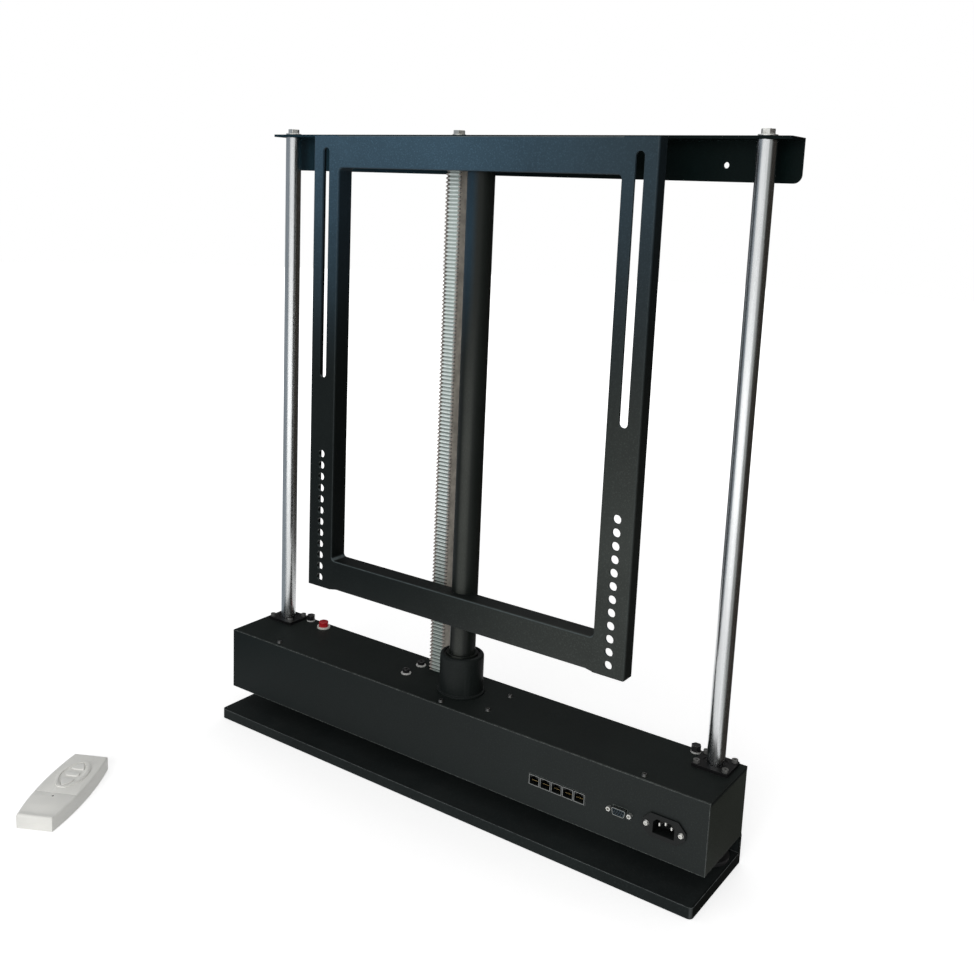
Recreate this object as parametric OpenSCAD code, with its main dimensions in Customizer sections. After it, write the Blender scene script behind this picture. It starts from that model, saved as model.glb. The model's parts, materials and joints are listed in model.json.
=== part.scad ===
// Rotating lift stand for a flat television.
// A motor box climbs a fixed gear rack between two guide rods and carries a
// turning column with the television frame on it. A handset lies in front.
// Origin: on the floor, under the axis of the column. +X to the right, +Y to
// the back, +Z up. Sizes are in millimetres.

/* [Stand] */
// Height from the floor to the top of the upper bracket
overall_h = 790; // [740:5:900]
// Width of the motor box
box_w = 700; // [680:5:800]
// Depth of the motor box
box_d = 100; // [100:1:120]
// Height of the motor box
box_h = 82; // [82:1:100]
// Gap between the base pan and the motor box at its lowest
ride_gap = 25; // [20:1:60]
// Thickness of the box's sheet panels
panel_t = 2; // [1:0.5:2.5]
// Thickness of the box's top plate
top_t = 4; // [3:0.5:5]
// Width of the front panel's top return
return_w = 14; // [12:1:16]

/* [Base pan] */
// Height of the base pan
base_h = 13; // [12:1:20]
// Thickness of the base pan's steel
base_t = 3; // [2:0.5:4]
// How far the pan stands out in front of the box
base_front = 22; // [10:1:60]
// How much the pan falls short of the box at each end
base_inset = 2; // [0:1:10]
// Height of the upstand at the back
upstand_h = 42; // [36:1:60]
// Gap between the box and the upstand
back_gap = 4; // [3:0.5:8]

/* [Upper bracket] */
// Thickness of the bracket's steel
bracket_t = 3; // [2:0.5:4]
// Height of the bracket's rear flange
bracket_h = 45; // [35:1:60]
// Radius of the rear flange's lower corners
bracket_r = 9; // [4:1:14]
// Distance between the two wall holes
wall_hole_span = 540; // [500:5:560]
// Depth of the wall holes below the top of the bracket
wall_hole_drop = 28; // [22:1:30]
// Diameter of the wall holes
wall_hole_d = 6.5; // [5:0.5:9]

/* [Guide rods] */
// Diameter of the guide rods
rod_d = 20; // [16:1:22]
// Distance of each rod's axis from the end of the box
rod_inset = 28; // [28:1:40]
// Diameter of the screws into the rods and the rack
end_screw_d = 8; // [6:1:10]
// Depth of the tapped holes in the rods and the rack
end_screw_depth = 24; // [18:1:40]
// Across flats of the hexagon heads
hex_af = 13; // [13:1:19]
// Gap between a rod's socket and the box at its lowest
foot_clear = 11; // [8:1:13]
// Wall of a rod's socket
foot_wall = 7; // [5:0.5:9]
// Radial width of the plate at a rod's socket
foot_plate_wall = 13; // [11:0.5:14]
// Thickness of the plate at a rod's socket
foot_plate_t = 5; // [3:0.5:6]
// Height of the hexagon heads
hex_h = 5.5; // [4:0.5:8]
// Thickness of the washers
washer_t = 1.6; // [1:0.2:2.4]

/* [Linear bushes] */
// Width of the square flange, along the box
flange_w = 42; // [40:1:48]
// Depth of the square flange
flange_d = 36; // [34:1:40]
// Thickness of the square flange
flange_t = 4; // [3:0.5:6]
// Wall of the bush, sleeve and liner together
bush_wall = 6; // [5:0.5:7]
// Length of the bush below the top plate's upper face
bush_len = 60; // [40:1:64]
// Wall of the bush's steel sleeve
sleeve_wall = 2; // [1.5:0.25:2.5]
// Gap between a rod and its bush
rod_fit = 0.05; // [0.02:0.01:0.08]

/* [Gear rack] */
// Module of the rack and its pinion
rack_m = 1.5; // [1.25:0.25:1.75]
// Width of the rack
rack_w = 21; // [16:1:22]
// Depth of the rack, from tooth tips to back
rack_t = 15; // [14:1:16]
// Distance of the rack's middle from the column's axis
rack_x = 58; // [58:1:70]
// Distance of the tooth tips behind the bracket's front edge
rack_set = 7; // [5:0.5:9]
// Teeth on the pinion
lift_teeth = 20; // [18:1:21]
// Play between meshing teeth
backlash = 0.25; // [0.15:0.05:0.4]
// Gap round the rack in the box's slots
slot_gap = 2; // [1:0.5:3]

/* [Lift drive] */
// Diameter of the lift motor
motor_d = 60; // [50:1:62]
// Length of the lift motor
motor_len = 95; // [70:1:110]
// Diameter of the gearbox
gearbox_d = 52; // [44:1:54]
// Length of the gearbox
gearbox_len = 58; // [40:1:70]
// Diameter of the pinion's shaft
shaft_d = 12; // [10:1:14]
// Thickness of the motor's bracket
mount_t = 4; // [3:0.5:5]
// Outer diameter of the shaft's bearing
shaft_bearing_d = 28; // [26:1:32]
// Width of the shaft's bearing
shaft_bearing_w = 8; // [6:1:9]

/* [Column] */
// Outer diameter of the column
column_d = 32; // [28:1:32]
// Wall of the column
column_wall = 2.5; // [2:0.5:4]
// Gap between the column and the upper bracket
column_clear = 2; // [1:0.5:4]
// Wall of the collar round the upper bearing
collar_wall = 5; // [4:0.5:7]
// Height of the collar above the box
collar_h = 50; // [35:1:60]
// How far the ring at the collar's foot stands out
collar_ring = 2.5; // [1:0.5:4]
// Height of the ring at the collar's foot
collar_ring_h = 3; // [2:0.5:5]
// Wall of the housing round the lower bearing
housing_wall = 3; // [2.5:0.25:3.5]
// Radial thickness of the column's bearings
bearing_t = 6; // [5.5:0.25:6.5]
// Width of the column's bearings
bearing_w = 7; // [6:1:9]

/* [Turning drive] */
// Module of the turning gears
gear_m = 1.5; // [1.25:0.25:1.5]
// Teeth on the column's gear
gear_teeth = 40; // [40:1:42]
// Teeth on the motor's pinion
pinion_teeth = 18; // [17:1:19]
// Width of the turning gears
gear_w = 9; // [7:1:10]
// Diameter of the turning motor
turn_motor_d = 34; // [28:1:35]
// Length of the turning motor
turn_motor_len = 38; // [30:1:42]
// Diameter of the turning motor's shaft
turn_shaft_d = 6; // [5:0.5:8]
// Thickness of the plate under the turning motor
turn_plate_t = 4; // [3:0.5:5]

/* [Television frame] */
// Width of the frame
frame_w = 465; // [420:5:520]
// Gap between the collar and the lower end of the frame
frame_foot = 40; // [30:1:80]
// Gap between the frame's top and the bracket's underside
frame_gap = 1; // [1:1:40]
// Depth of the frame's channels
frame_d = 25; // [20:1:30]
// Thickness of the frame's steel
frame_t = 3; // [2:0.5:3]
// Gap between the column's axis and the frame's open back
frame_set = 3; // [1:0.5:6]
// Outer radius of the channels' bends
bend_r = 3; // [1:0.5:4]
// Width of the posts
post_w = 40; // [36:1:50]
// Depth of the posts' outer flanges
post_lip = 19; // [15:1:20]
// Height of the top rail
top_rail_h = 38; // [30:1:50]
// Height of the bottom rail
bottom_rail_h = 38; // [30:1:50]
// How far the posts reach below the bottom rail
rail_step = 1.5; // [0:0.5:5]
// Width of the posts' long slots
post_slot_w = 10.5; // [7:0.5:11]
// Distance from the highest hole up to the posts' long slots
post_slot_gap = 99; // [60:1:180]
// Distance of the slots from the frame's top
post_slot_drop = 14; // [10:1:20]
// Diameter of the posts' holes
post_hole_d = 10; // [7:0.5:11]
// Number of holes in each post
post_holes = 12; // [6:1:12]
// Distance between the holes
post_hole_pitch = 15; // [13:0.5:16]
// Distance of the lowest hole from the posts' lower end
post_hole_start = 13; // [9:0.5:16]

/* [Sockets] */
// Distance of the jack row's left end from the box's right end
jack_inset = 216; // [210:1:222]
// Distance between the jacks
jack_pitch = 14.6; // [14:0.2:15]
// Number of jacks
jacks = 5; // [4:1:5]
// Height of the jack row
jack_h = 13; // [12:0.5:14]
// Width of a jack's opening
jack_hole_w = 11.4; // [10:0.2:12]
// Height of a jack's opening
jack_hole_h = 8; // [7:0.5:9]
// Depth of a jack's opening
jack_depth = 12; // [8:0.5:13]
// Distance of the serial socket from the box's right end
serial_inset = 100; // [94:1:108]
// Distance between the serial socket's hexagon posts
serial_span = 25; // [24:0.5:26]
// Distance of the mains inlet from the box's right end
inlet_inset = 48; // [40:1:50]
// Distance between the mains inlet's screws
inlet_span = 40; // [38:0.5:42]
// Width of the mains inlet's mouth
inlet_w = 24.6; // [24:0.2:26]
// Height of the mains inlet's mouth
inlet_h = 16.6; // [16:0.2:18]
// Depth of the mains inlet's mouth
inlet_depth = 16; // [12:0.5:20]
// Height of the sockets' middle above the box's floor
socket_rise = 37; // [36:0.5:42]

/* [Box top] */
// Distance of the push button from the box's left end
button_inset = 88; // [82:1:94]
// Distance of the push button from the box's back
button_set = 14; // [14:0.5:20]
// Diameter of the button's chrome bezel
bezel_d = 18; // [16:0.5:22]
// Diameter of the red cap
cap_d = 13; // [9:0.5:13]
// Height of the red cap above the bezel
cap_h = 7; // [5:0.5:8]
// Gap between a bush's flange and the bolt beside it
stop_gap = 2.5; // [1:0.5:6]
// Distance of the outer front screws from the ends of the box
cover_screw_inset = 79; // [70:1:90]

/* [Handset] */
// Distance of the handset to the left of the column
handset_x = 336; // [300:1:400]
// Distance of the handset in front of the column
handset_y = 330; // [200:1:400]
// Turn of the handset on the floor
handset_turn = 118; // [100:1:135]
// Length of the handset
handset_len = 140; // [130:1:160]
// Width of the handset at its middle
handset_w = 55; // [50:1:62]
// Width of the handset at its ends
handset_end_w = 43; // [40:1:46]
// Height of the handset
handset_h = 18; // [16:1:24]
// Wall of the handset's shells
shell_t = 2; // [1.5:0.25:2.5]
// Gap between a key and its hole
key_gap = 0.35; // [0.3:0.05:0.6]

/* [Hidden] */

$fn = 48;
eps = 1;          // how far a cut runs past a face
slip = 0.1;       // gap of a screw in its hole
snug = 0.05;      // gap of a running or seated fit
apart = 0.35;     // gap between round faces that move past each other
flank = 20;       // pressure angle of the teeth

// Levels, from the floor up
box_z = base_h + ride_gap;
floor_z = box_z + panel_t;
top_z = box_z + box_h;
lid_z = top_z - top_t;
bracket_z = overall_h - bracket_t;
frame_top = bracket_z - frame_gap;
collar_top = top_z + collar_h;
frame_z = collar_top + frame_foot;
frame_h = frame_top - frame_z;

// Places across the stand
box_front = -box_d / 2;
box_back = box_d / 2;
pan_front = box_front - base_front;
back_y = box_back + back_gap + base_t;
pan_w = box_w - 2 * base_inset;
bracket_front = column_d / 2 + column_clear;
rod_x = box_w / 2 - rod_inset;
rod_y = bracket_front + rod_d / 2;
bush_d = rod_d + 2 * bush_wall;
liner_sunk = 1;
upstand_hole_drop = 12;

// Rack and pinion
rack_front = bracket_front + rack_set;
lift_r = rack_m * lift_teeth / 2;
lift_y = rack_front + rack_m - lift_r;
lift_z = (floor_z + lid_z) / 2;
rack_root = rack_front + 2.25 * rack_m;
rack_back = rack_front + rack_t;
rack_hole_y = (rack_root + rack_back) / 2;
rack_pitch = PI * rack_m;

// Lift drive, from the pinion outwards
mount_x = rack_x + rack_w / 2 + slot_gap + 3;
mount_foot = 16;
mount_back_x = mount_x + mount_foot;
gearbox_x = mount_back_x;
motor_x = gearbox_x + gearbox_len;
block_x = rack_x - rack_w / 2 - slot_gap;
bracket_screw_x = mount_x + mount_foot / 2;
bracket_screw_y = [-6, 25];
shaft_in = 20;  // how far the pinion's shaft reaches into the gearbox

// Column and turning drive
turn_r = gear_m * gear_teeth / 2;
turn_pinion_r = gear_m * pinion_teeth / 2;
turn_x = turn_r + turn_pinion_r;
gear_z = floor_z + 5;
turn_plate_z = gear_z + gear_w + 7;
turn_plate_top = turn_plate_z + turn_plate_t;
bearing_d = column_d + 2 * bearing_t;
housing_d = bearing_d + 2 * housing_wall;
collar_d = bearing_d + 2 * collar_wall;
collar_ring_d = collar_d + 2 * collar_ring;
housing_bore_r = bearing_d / 2 - 3;
lower_bearing_z = turn_plate_top + 1;
upper_bearing_z = collar_top - bearing_w - 3;
race_t = 1.8;
race_in_r = column_d / 2 + race_t;
race_out_r = bearing_d / 2 - race_t;
ball_r = (race_out_r - race_in_r) / 2 - apart;
ball_ring_r = (race_out_r + race_in_r) / 2;
ball_count = 18;
standoff_x = 57;
standoff_y = 24;
standoff_d = 8;

// Frame
frame_back = -frame_set;
frame_front = frame_back - frame_d;
post_x = (frame_w - post_w) / 2;
rail_len = frame_w - 2 * post_w;
post_slot_z = frame_z + post_hole_start + (post_holes - 1) * post_hole_pitch + post_slot_gap;
post_slot_len = frame_top - post_slot_drop - post_slot_z;
top_rail_z = frame_top - top_rail_h;
bottom_rail_z = frame_z + rail_step;

// Sockets
jack_x = box_w / 2 - jack_inset;
serial_x = box_w / 2 - serial_inset;
inlet_x = box_w / 2 - inlet_inset;
socket_z = box_z + socket_rise;
jack_row_w = jacks * jack_pitch;
jack_z = socket_z - 3;
jack_fit = 0.15;
board_z = jack_z - jack_h / 2 + jack_fit;
board_t = 1.6;
board_x0 = jack_x - 8;
board_end = 26;
board_reach = 62;
board_x1 = serial_x + board_end;
board_back = box_front + board_reach;
board_post_d = 6;
board_posts_apart = 35;
relays = 4;
relay_w = 15;
capacitors = 3;
capacitor_d = 10;
fin_t = 3;
supply_gap = 2;
supply_w = 120;
supply_h = 45;
jack_body_d = jack_depth + 5;
jack_proud = 0.8;
jack_drop = 0.8;  // how far the openings sit below the row's middle
inlet_flange_w = inlet_span + 10;
inlet_flange_h = inlet_h + 10;
inlet_flange_t = 2.5;
socket_screw_d = 3.4;

// Screws on the box's top
small_screw_d = 4;
small_head_d = 7;
small_head_h = 2.4;
cover_screw_y = box_front + panel_t + return_w / 2;
cover_screw_span = box_w / 2 - cover_screw_inset;
button_x = box_w / 2 - button_inset;
button_y = box_back - button_set;
bezel_h = 2.5;
button_thread_d = 15;
button_depth = 16;
stop_washer_d = 12;
stop_af = 10;
stop_head_h = 7;
stop_x = rod_x - flange_w / 2 - stop_gap - stop_washer_d / 2;
stop_y = box_back - 7;

// Handset
handset_split = handset_h / 2;
key_stand = 1.4;
key_ring_h = 1.2;
key_ring_l = 66;
key_ring_w = 36;
key_ring_t = 4;
up_key_inset = 31.5;
key_pitch = 17;
up_key_x = handset_len / 2 - up_key_inset;
stop_key_x = up_key_x - key_pitch;
down_key_x = stop_key_x - key_pitch;
key_r = 9;
key_side = 6;
key_bulge = 24;
stop_key_w = 17;
stop_key_l = 8.5;
key_foot = 3;
led_x = -27;

// Rectangle with round corners, centred
module round_rect(w, d, r) {
    square([w - 2 * r, d], center = true);
    square([w, d - 2 * r], center = true);
    for (x = [-1, 1], y = [-1, 1])
        translate([x * (w / 2 - r), y * (d / 2 - r)]) circle(r);
}

// Box between two corners
module block(from, to) {
    translate(from) cube(to - from);
}

// Cylinder along Z between two heights
module rod_z(x, y, z0, z1, d) {
    translate([x, y, z0]) cylinder(h = z1 - z0, d = d);
}

// Cylinder along X between two places
module rod_along_x(x0, x1, y, z, d) {
    translate([x0, y, z]) rotate([0, 90, 0]) cylinder(h = x1 - x0, d = d);
}

// Cylinder along Y between two places
module rod_along_y(x, y0, y1, z, d) {
    translate([x, y1, z]) rotate([90, 0, 0]) cylinder(h = y1 - y0, d = d);
}

// Ring along Z
module ring(z0, z1, d_in, d_out) {
    difference() {
        rod_z(0, 0, z0, z1, d_out);
        rod_z(0, 0, z0 - eps, z1 + eps, d_in);
    }
}

// Hexagon prism on its washer, with a shank below
module hex_bolt(af, head_h, washer_d, shank_d, shank_len) {
    cylinder(h = washer_t, d = washer_d);
    translate([0, 0, washer_t]) cylinder(h = head_h, d = af / cos(30), $fn = 6);
    translate([0, 0, -shank_len]) cylinder(h = shank_len, d = shank_d);
}

// Socket-head screw with its hexagon socket, standing on z = 0
module socket_screw(head_d, head_h, shank_d, shank_len) {
    difference() {
        cylinder(h = head_h, d = head_d);
        translate([0, 0, head_h * 0.4]) cylinder(h = head_h, d = head_d * 0.5, $fn = 6);
    }
    translate([0, 0, -shank_len]) cylinder(h = shank_len, d = shank_d);
}

// Flat-head screw with a cross recess, standing on z = 0
module cross_screw(head_d, head_h, shank_d, shank_len) {
    recess_w = head_d * 0.16;
    difference() {
        cylinder(h = head_h, d1 = head_d, d2 = head_d * 0.7);
        for (a = [0, 90])
            rotate([0, 0, a]) translate([-head_d * 0.25, -recess_w / 2, head_h * 0.45])
                cube([head_d * 0.5, recess_w, head_h]);
    }
    translate([0, 0, -shank_len]) cylinder(h = shank_len, d = shank_d);
}

// Involute gear outline, with a tooth centred on +X
function involute(a) = tan(a) * 180 / PI - a;
function flank_angle(r, m, teeth, play) =
    let (pitch_r = m * teeth / 2, base_r = pitch_r * cos(flank),
        a = r > base_r ? acos(base_r / r) : 0)
    90 / teeth - play / pitch_r * 45 / PI + involute(flank) - involute(a);
function gear_points(m, teeth, play) =
    let (pitch_r = m * teeth / 2, base_r = pitch_r * cos(flank), tip_r = pitch_r + m,
        root_r = pitch_r - 1.25 * m, low_r = max(base_r, root_r),
        radii = concat([root_r], [for (i = [0:3]) low_r + (tip_r - low_r) * i / 3]),
        steps = len(radii) - 1)
    [for (k = [0:teeth - 1], i = [0:2 * steps + 1])
        let (up = i <= steps, r = radii[up ? i : 2 * steps + 1 - i],
            a = k * 360 / teeth + (up ? -1 : 1) * flank_angle(r, m, teeth, play))
        [r * cos(a), r * sin(a)]];

module gear(m, teeth, width) {
    linear_extrude(width) polygon(gear_points(m, teeth, backlash / 2));
}

// Channel with its web at y = 0, its back open towards +y, and rounded bends
module channel_outline(w, d) {
    difference() {
        union() {
            translate([-w / 2, bend_r]) square([w, d - bend_r]);
            translate([-w / 2 + bend_r, 0]) square([w - 2 * bend_r, bend_r + eps]);
            for (x = [-1, 1]) translate([x * (w / 2 - bend_r), bend_r]) circle(bend_r);
        }
        translate([-w / 2 + frame_t, frame_t]) square([w - 2 * frame_t, d]);
    }
}

// Pan on the floor, with lips all round and an upstand at the back
module base_plate() {
    color([0.10, 0.11, 0.11]) difference() {
        union() {
            block([-pan_w / 2, pan_front, 0], [pan_w / 2, back_y, base_h]);
            block([-pan_w / 2, back_y - base_t, 0], [pan_w / 2, back_y, upstand_h]);
        }
        block([-pan_w / 2 + base_t, pan_front + base_t, -eps],
            [pan_w / 2 - base_t, back_y - base_t, base_h - base_t]);
        for (x = [-rod_x, rod_x]) rod_z(x, rod_y, 0, base_h + eps, end_screw_d + 2 * slip);
        rod_z(-rack_x, rack_hole_y, 0, base_h + eps, end_screw_d + 2 * slip);
        for (x = [-1, 1])
            rod_along_y(x * wall_hole_span / 2, back_y - base_t - eps, back_y + eps,
                upstand_h - upstand_hole_drop, wall_hole_d);
        for (x = [-1, 1]) translate([x * pan_w / 2, back_y - base_t - eps, upstand_h])
            rotate([-90, 0, 0]) corner_cut(bracket_r, base_t + 2 * eps);
        for (x = [-1, 1]) translate([x * pan_w / 2, pan_front, -eps])
            corner_cut(base_t + 2, base_h + 2 * eps);
    }
}

// What a round corner takes off a block whose corner is at the origin
module corner_cut(r, h) {
    difference() {
        translate([-r, -r, 0]) cube([2 * r, 2 * r, h]);
        for (x = [-r, r], y = [-r, r]) translate([x, y, -eps]) cylinder(h = h + 2 * eps, r = r);
    }
}

// Ground steel rods, tapped at both ends
module guide_rods() {
    color([0.78, 0.79, 0.80]) for (x = [-rod_x, rod_x]) difference() {
        rod_z(x, rod_y, base_h, bracket_z, rod_d);
        end_hole(x, rod_y);
    }
}

module end_hole(x, y) {
    rod_z(x, y, base_h - eps, base_h + end_screw_depth, end_screw_d + 2 * snug);
    rod_z(x, y, bracket_z - end_screw_depth, bracket_z + eps, end_screw_d + 2 * snug);
}

// Sockets that hold the rods on the pan
module rod_feet() {
    foot_h = ride_gap - foot_clear;
    color([0.30, 0.31, 0.32]) for (x = [-rod_x, rod_x]) difference() {
        union() {
            rod_z(x, rod_y, base_h, base_h + foot_plate_t, rod_d + 2 * foot_plate_wall);
            rod_z(x, rod_y, base_h, base_h + foot_h, rod_d + 2 * foot_wall);
        }
        rod_z(x, rod_y, base_h - eps, base_h + foot_h + eps, rod_d + 2 * snug);
    }
}

// Toothed bar, with its teeth to the front
module gear_rack() {
    half_tip = rack_pitch / 4 - rack_m * tan(flank) - backlash / 4;
    half_root = rack_pitch / 4 + 1.25 * rack_m * tan(flank) - backlash / 4;
    first = ceil((base_h + 4 - lift_z) / rack_pitch);
    last = floor((bracket_z - 4 - lift_z) / rack_pitch) - 1;
    edge = [for (k = [first:last]) let (z = lift_z + (k + 0.5) * rack_pitch)
        each [[rack_root, z - half_root], [rack_front, z - half_tip],
            [rack_front, z + half_tip], [rack_root, z + half_root]]];
    outline = concat([[rack_back, base_h], [rack_root, base_h]], edge,
        [[rack_root, bracket_z], [rack_back, bracket_z]]);
    color([0.72, 0.73, 0.70]) difference() {
        translate([-rack_x - rack_w / 2, 0, 0]) rotate([90, 0, 90]) linear_extrude(rack_w) polygon(outline);
        end_hole(-rack_x, rack_hole_y);
    }
}

// Angle bracket that ties the rods and the rack and screws to the furniture
module top_bracket() {
    bolt_hole_d = end_screw_d + 2 * slip;
    color([0.11, 0.13, 0.14]) difference() {
        union() {
            block([-box_w / 2, bracket_front, bracket_z], [box_w / 2, back_y, overall_h]);
            block([-box_w / 2, back_y - bracket_t, overall_h - bracket_h], [box_w / 2, back_y, overall_h]);
        }
        for (x = [-1, 1]) translate([x * box_w / 2, back_y - bracket_t - eps, overall_h - bracket_h])
            rotate([-90, 0, 0]) corner_cut(bracket_r, bracket_t + 2 * eps);
        for (x = [-1, 1]) translate([x * box_w / 2, bracket_front, bracket_z - eps])
            corner_cut(4, bracket_t + 2 * eps);
        for (x = [-rod_x, rod_x]) rod_z(x, rod_y, bracket_z - eps, overall_h + eps, bolt_hole_d);
        rod_z(-rack_x, rack_hole_y, bracket_z - eps, overall_h + eps, bolt_hole_d);
        for (x = [-1, 1]) rod_along_y(x * wall_hole_span / 2, back_y - bracket_t - eps, back_y + eps,
            overall_h - wall_hole_drop, wall_hole_d);
    }
}

module rod_bolts() {
    color([0.80, 0.80, 0.78]) for (x = [-rod_x, rod_x]) translate([x, rod_y, overall_h])
        hex_bolt(hex_af, hex_h, rod_d, end_screw_d, bracket_t + end_screw_depth - 4);
}

module rack_bolt() {
    color([0.80, 0.80, 0.78]) translate([-rack_x, rack_hole_y, overall_h])
        hex_bolt(13, hex_h - 1, 16, end_screw_d, bracket_t + end_screw_depth - 4);
}

// Screws from under the pan into the rods and the rack
module base_screws() {
    head_z = base_h - base_t;
    color([0.25, 0.25, 0.26]) for (p = [[-rod_x, rod_y], [rod_x, rod_y], [-rack_x, rack_hole_y]])
        translate([p[0], p[1], head_z]) rotate([180, 0, 0])
            socket_screw(end_screw_d * 1.8, 5, end_screw_d, base_t + end_screw_depth - 4);
}

// Outline of the handset, with sides that swell in the middle
module handset_outline(inset) {
    sag = (handset_w - handset_end_w) / 2;
    side_r = (handset_len * handset_len / 4 + sag * sag) / (2 * sag);
    intersection() {
        round_rect(handset_len - 2 * inset, handset_w - 2 * inset, 5 - inset);
        translate([0, handset_w / 2 - side_r]) circle(side_r - inset, $fn = 90);
        translate([0, side_r - handset_w / 2]) circle(side_r - inset, $fn = 90);
    }
}

module at_handset() {
    translate([-handset_x, -handset_y, 0]) rotate([0, 0, handset_turn]) children();
}

module handset_base() {
    color([0.86, 0.86, 0.84]) at_handset() difference() {
        linear_extrude(handset_split) handset_outline(0);
        translate([0, 0, shell_t]) linear_extrude(handset_split) handset_outline(shell_t);
    }
}

module handset_cover() {
    color([0.90, 0.90, 0.88]) at_handset() difference() {
        union() {
            translate([0, 0, handset_split]) linear_extrude(handset_h - handset_split) handset_outline(0);
            translate([stop_key_x, 0, handset_h]) linear_extrude(key_ring_h) key_ring();
        }
        translate([0, 0, handset_split - eps])
            linear_extrude(handset_h - handset_split - shell_t + eps) handset_outline(shell_t);
        translate([0, 0, handset_split]) linear_extrude(handset_h) {
            translate([up_key_x, 0]) arrow_key(1, key_gap);
            translate([stop_key_x, 0]) round_rect(stop_key_l + 2 * key_gap, stop_key_w + 2 * key_gap, 4);
            translate([down_key_x, 0]) arrow_key(-1, key_gap);
        }
        translate([led_x, 0, handset_split]) cylinder(h = handset_h, d = 3);
    }
}

// Raised lens-shaped ring round the keys
module key_ring() {
    difference() {
        lens(key_ring_l, key_ring_w);
        lens(key_ring_l - 2 * key_ring_t, key_ring_w - 2 * key_ring_t);
    }
}

module lens(length, width) {
    r = (length * length + width * width) / (4 * width);
    intersection() {
        translate([0, r - width / 2]) circle(r);
        translate([0, width / 2 - r]) circle(r);
        square([length - width / 6, width], center = true);
    }
}

// Three-cornered key with bulging sides, its point along +x or -x
module arrow_key(way, grow) {
    intersection() {
        circle(key_r + grow);
        for_each_side(way) circle(key_bulge + grow);
    }
}

module for_each_side(way) {
    intersection_for(a = [0, 120, 240])
        rotate([0, 0, a]) translate([way * (key_bulge - key_side), 0]) children();
}

module handset_board() {
    color([0.16, 0.36, 0.22]) at_handset() translate([0, 0, shell_t])
        linear_extrude(1.6) handset_outline(shell_t + 0.3);
}

// Key body from its pad on the board up through the cover
module key_body(x) {
    at_handset() translate([x, 0, handset_split - key_foot]) {
        linear_extrude(handset_h - handset_split + key_foot + key_stand) children();
    }
}

module up_key() {
    color([0.88, 0.88, 0.86]) key_body(up_key_x) arrow_key(1, 0);
}

module stop_key() {
    color([0.88, 0.88, 0.86]) key_body(stop_key_x) round_rect(stop_key_l, stop_key_w, 4 - key_gap);
}

module down_key() {
    color([0.88, 0.88, 0.86]) key_body(down_key_x) arrow_key(-1, 0);
}

// Plate on top of the box that carries everything inside
module top_plate() {
    color([0.11, 0.12, 0.12]) difference() {
        block([-box_w / 2, box_front + panel_t, lid_z], [box_w / 2, box_back, top_z]);
        for (x = [-rod_x, rod_x]) rod_z(x, rod_y, lid_z - eps, top_z + eps, bush_d + 2 * slip);
        rack_slot(lid_z - eps, top_z + eps);
        rod_z(0, 0, lid_z - eps, top_z + eps, housing_d + 2 * slip);
        rod_z(-button_x, button_y, lid_z - eps, top_z + eps, button_thread_d + 2 * slip);
        at_flange_screws() small_hole();
        at_cover_screws() small_hole();
        for (y = bracket_screw_y) translate([-bracket_screw_x, y, lid_z]) small_hole();
        for (x = [-stop_x, stop_x]) translate([x, stop_y, lid_z]) small_hole();
    }
}

module small_hole() {
    translate([0, 0, -top_t]) cylinder(h = 4 * top_t, d = small_screw_d + 2 * slip);
}

module rack_slot(z0, z1) {
    block([-rack_x - rack_w / 2 - slot_gap, rack_front - slot_gap, z0],
        [-rack_x + rack_w / 2 + slot_gap, rack_back + slot_gap, z1]);
}

module at_flange_screws() {
    for (x = [-rod_x, rod_x], a = [-1, 1], b = [-1, 1])
        translate([x + a * (flange_w / 2 - 4.5), rod_y + b * (flange_d / 2 - 4.5), lid_z]) children();
}

module at_cover_screws() {
    for (i = [-1:1]) translate([i * cover_screw_span, cover_screw_y, lid_z]) children();
    for (y = [-standoff_y, standoff_y]) translate([standoff_x, y, lid_z]) children();
}

module front_panel() {
    color([0.12, 0.13, 0.13]) difference() {
        union() {
            block([-box_w / 2, box_front, box_z], [box_w / 2, box_front + panel_t, top_z]);
            block([-box_w / 2 + panel_t, box_front + panel_t - 0.5, lid_z - panel_t],
                [box_w / 2 - panel_t, box_front + panel_t + return_w, lid_z]);
        }
        block([jack_x, box_front - eps, jack_z - jack_h / 2],
            [jack_x + jack_row_w, box_front + panel_t + eps, jack_z + jack_h / 2]);
        translate([serial_x, box_front + panel_t + eps, socket_z]) rotate([90, 0, 0])
            linear_extrude(panel_t + 2 * eps) serial_outline(0.3);
        for (x = [-1, 1]) rod_along_y(serial_x + x * serial_span / 2, box_front - eps,
            box_front + panel_t + eps, socket_z, socket_screw_d);
        block([inlet_x - inlet_w / 2 - 2, box_front - eps, socket_z - inlet_h / 2 - 2],
            [inlet_x + inlet_w / 2 + 2, box_front + panel_t + eps, socket_z + inlet_h / 2 + 2]);
        for (x = [-1, 1]) rod_along_y(inlet_x + x * inlet_span / 2, box_front - eps,
            box_front + panel_t + eps, socket_z, socket_screw_d);
        for (i = [-1:1]) translate([i * cover_screw_span, cover_screw_y, lid_z]) small_hole();
    }
}

module rear_panel() {
    color([0.11, 0.12, 0.12])
        block([-box_w / 2 + panel_t, box_back - panel_t, box_z], [box_w / 2 - panel_t, box_back, lid_z]);
}

module end_plates() {
    color([0.13, 0.12, 0.12]) for (s = [-1, 1])
        translate([s > 0 ? box_w / 2 - panel_t : -box_w / 2, box_front + panel_t, box_z])
            cube([panel_t, box_d - panel_t, box_h - top_t]);
}

module bottom_panel() {
    color([0.10, 0.11, 0.11]) difference() {
        block([-box_w / 2 + panel_t, box_front + panel_t, box_z],
            [box_w / 2 - panel_t, box_back - panel_t, floor_z]);
        for (x = [-rod_x, rod_x]) rod_z(x, rod_y, box_z - eps, floor_z + eps, rod_d + 4);
        rack_slot(box_z - eps, floor_z + eps);
    }
}

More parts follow.
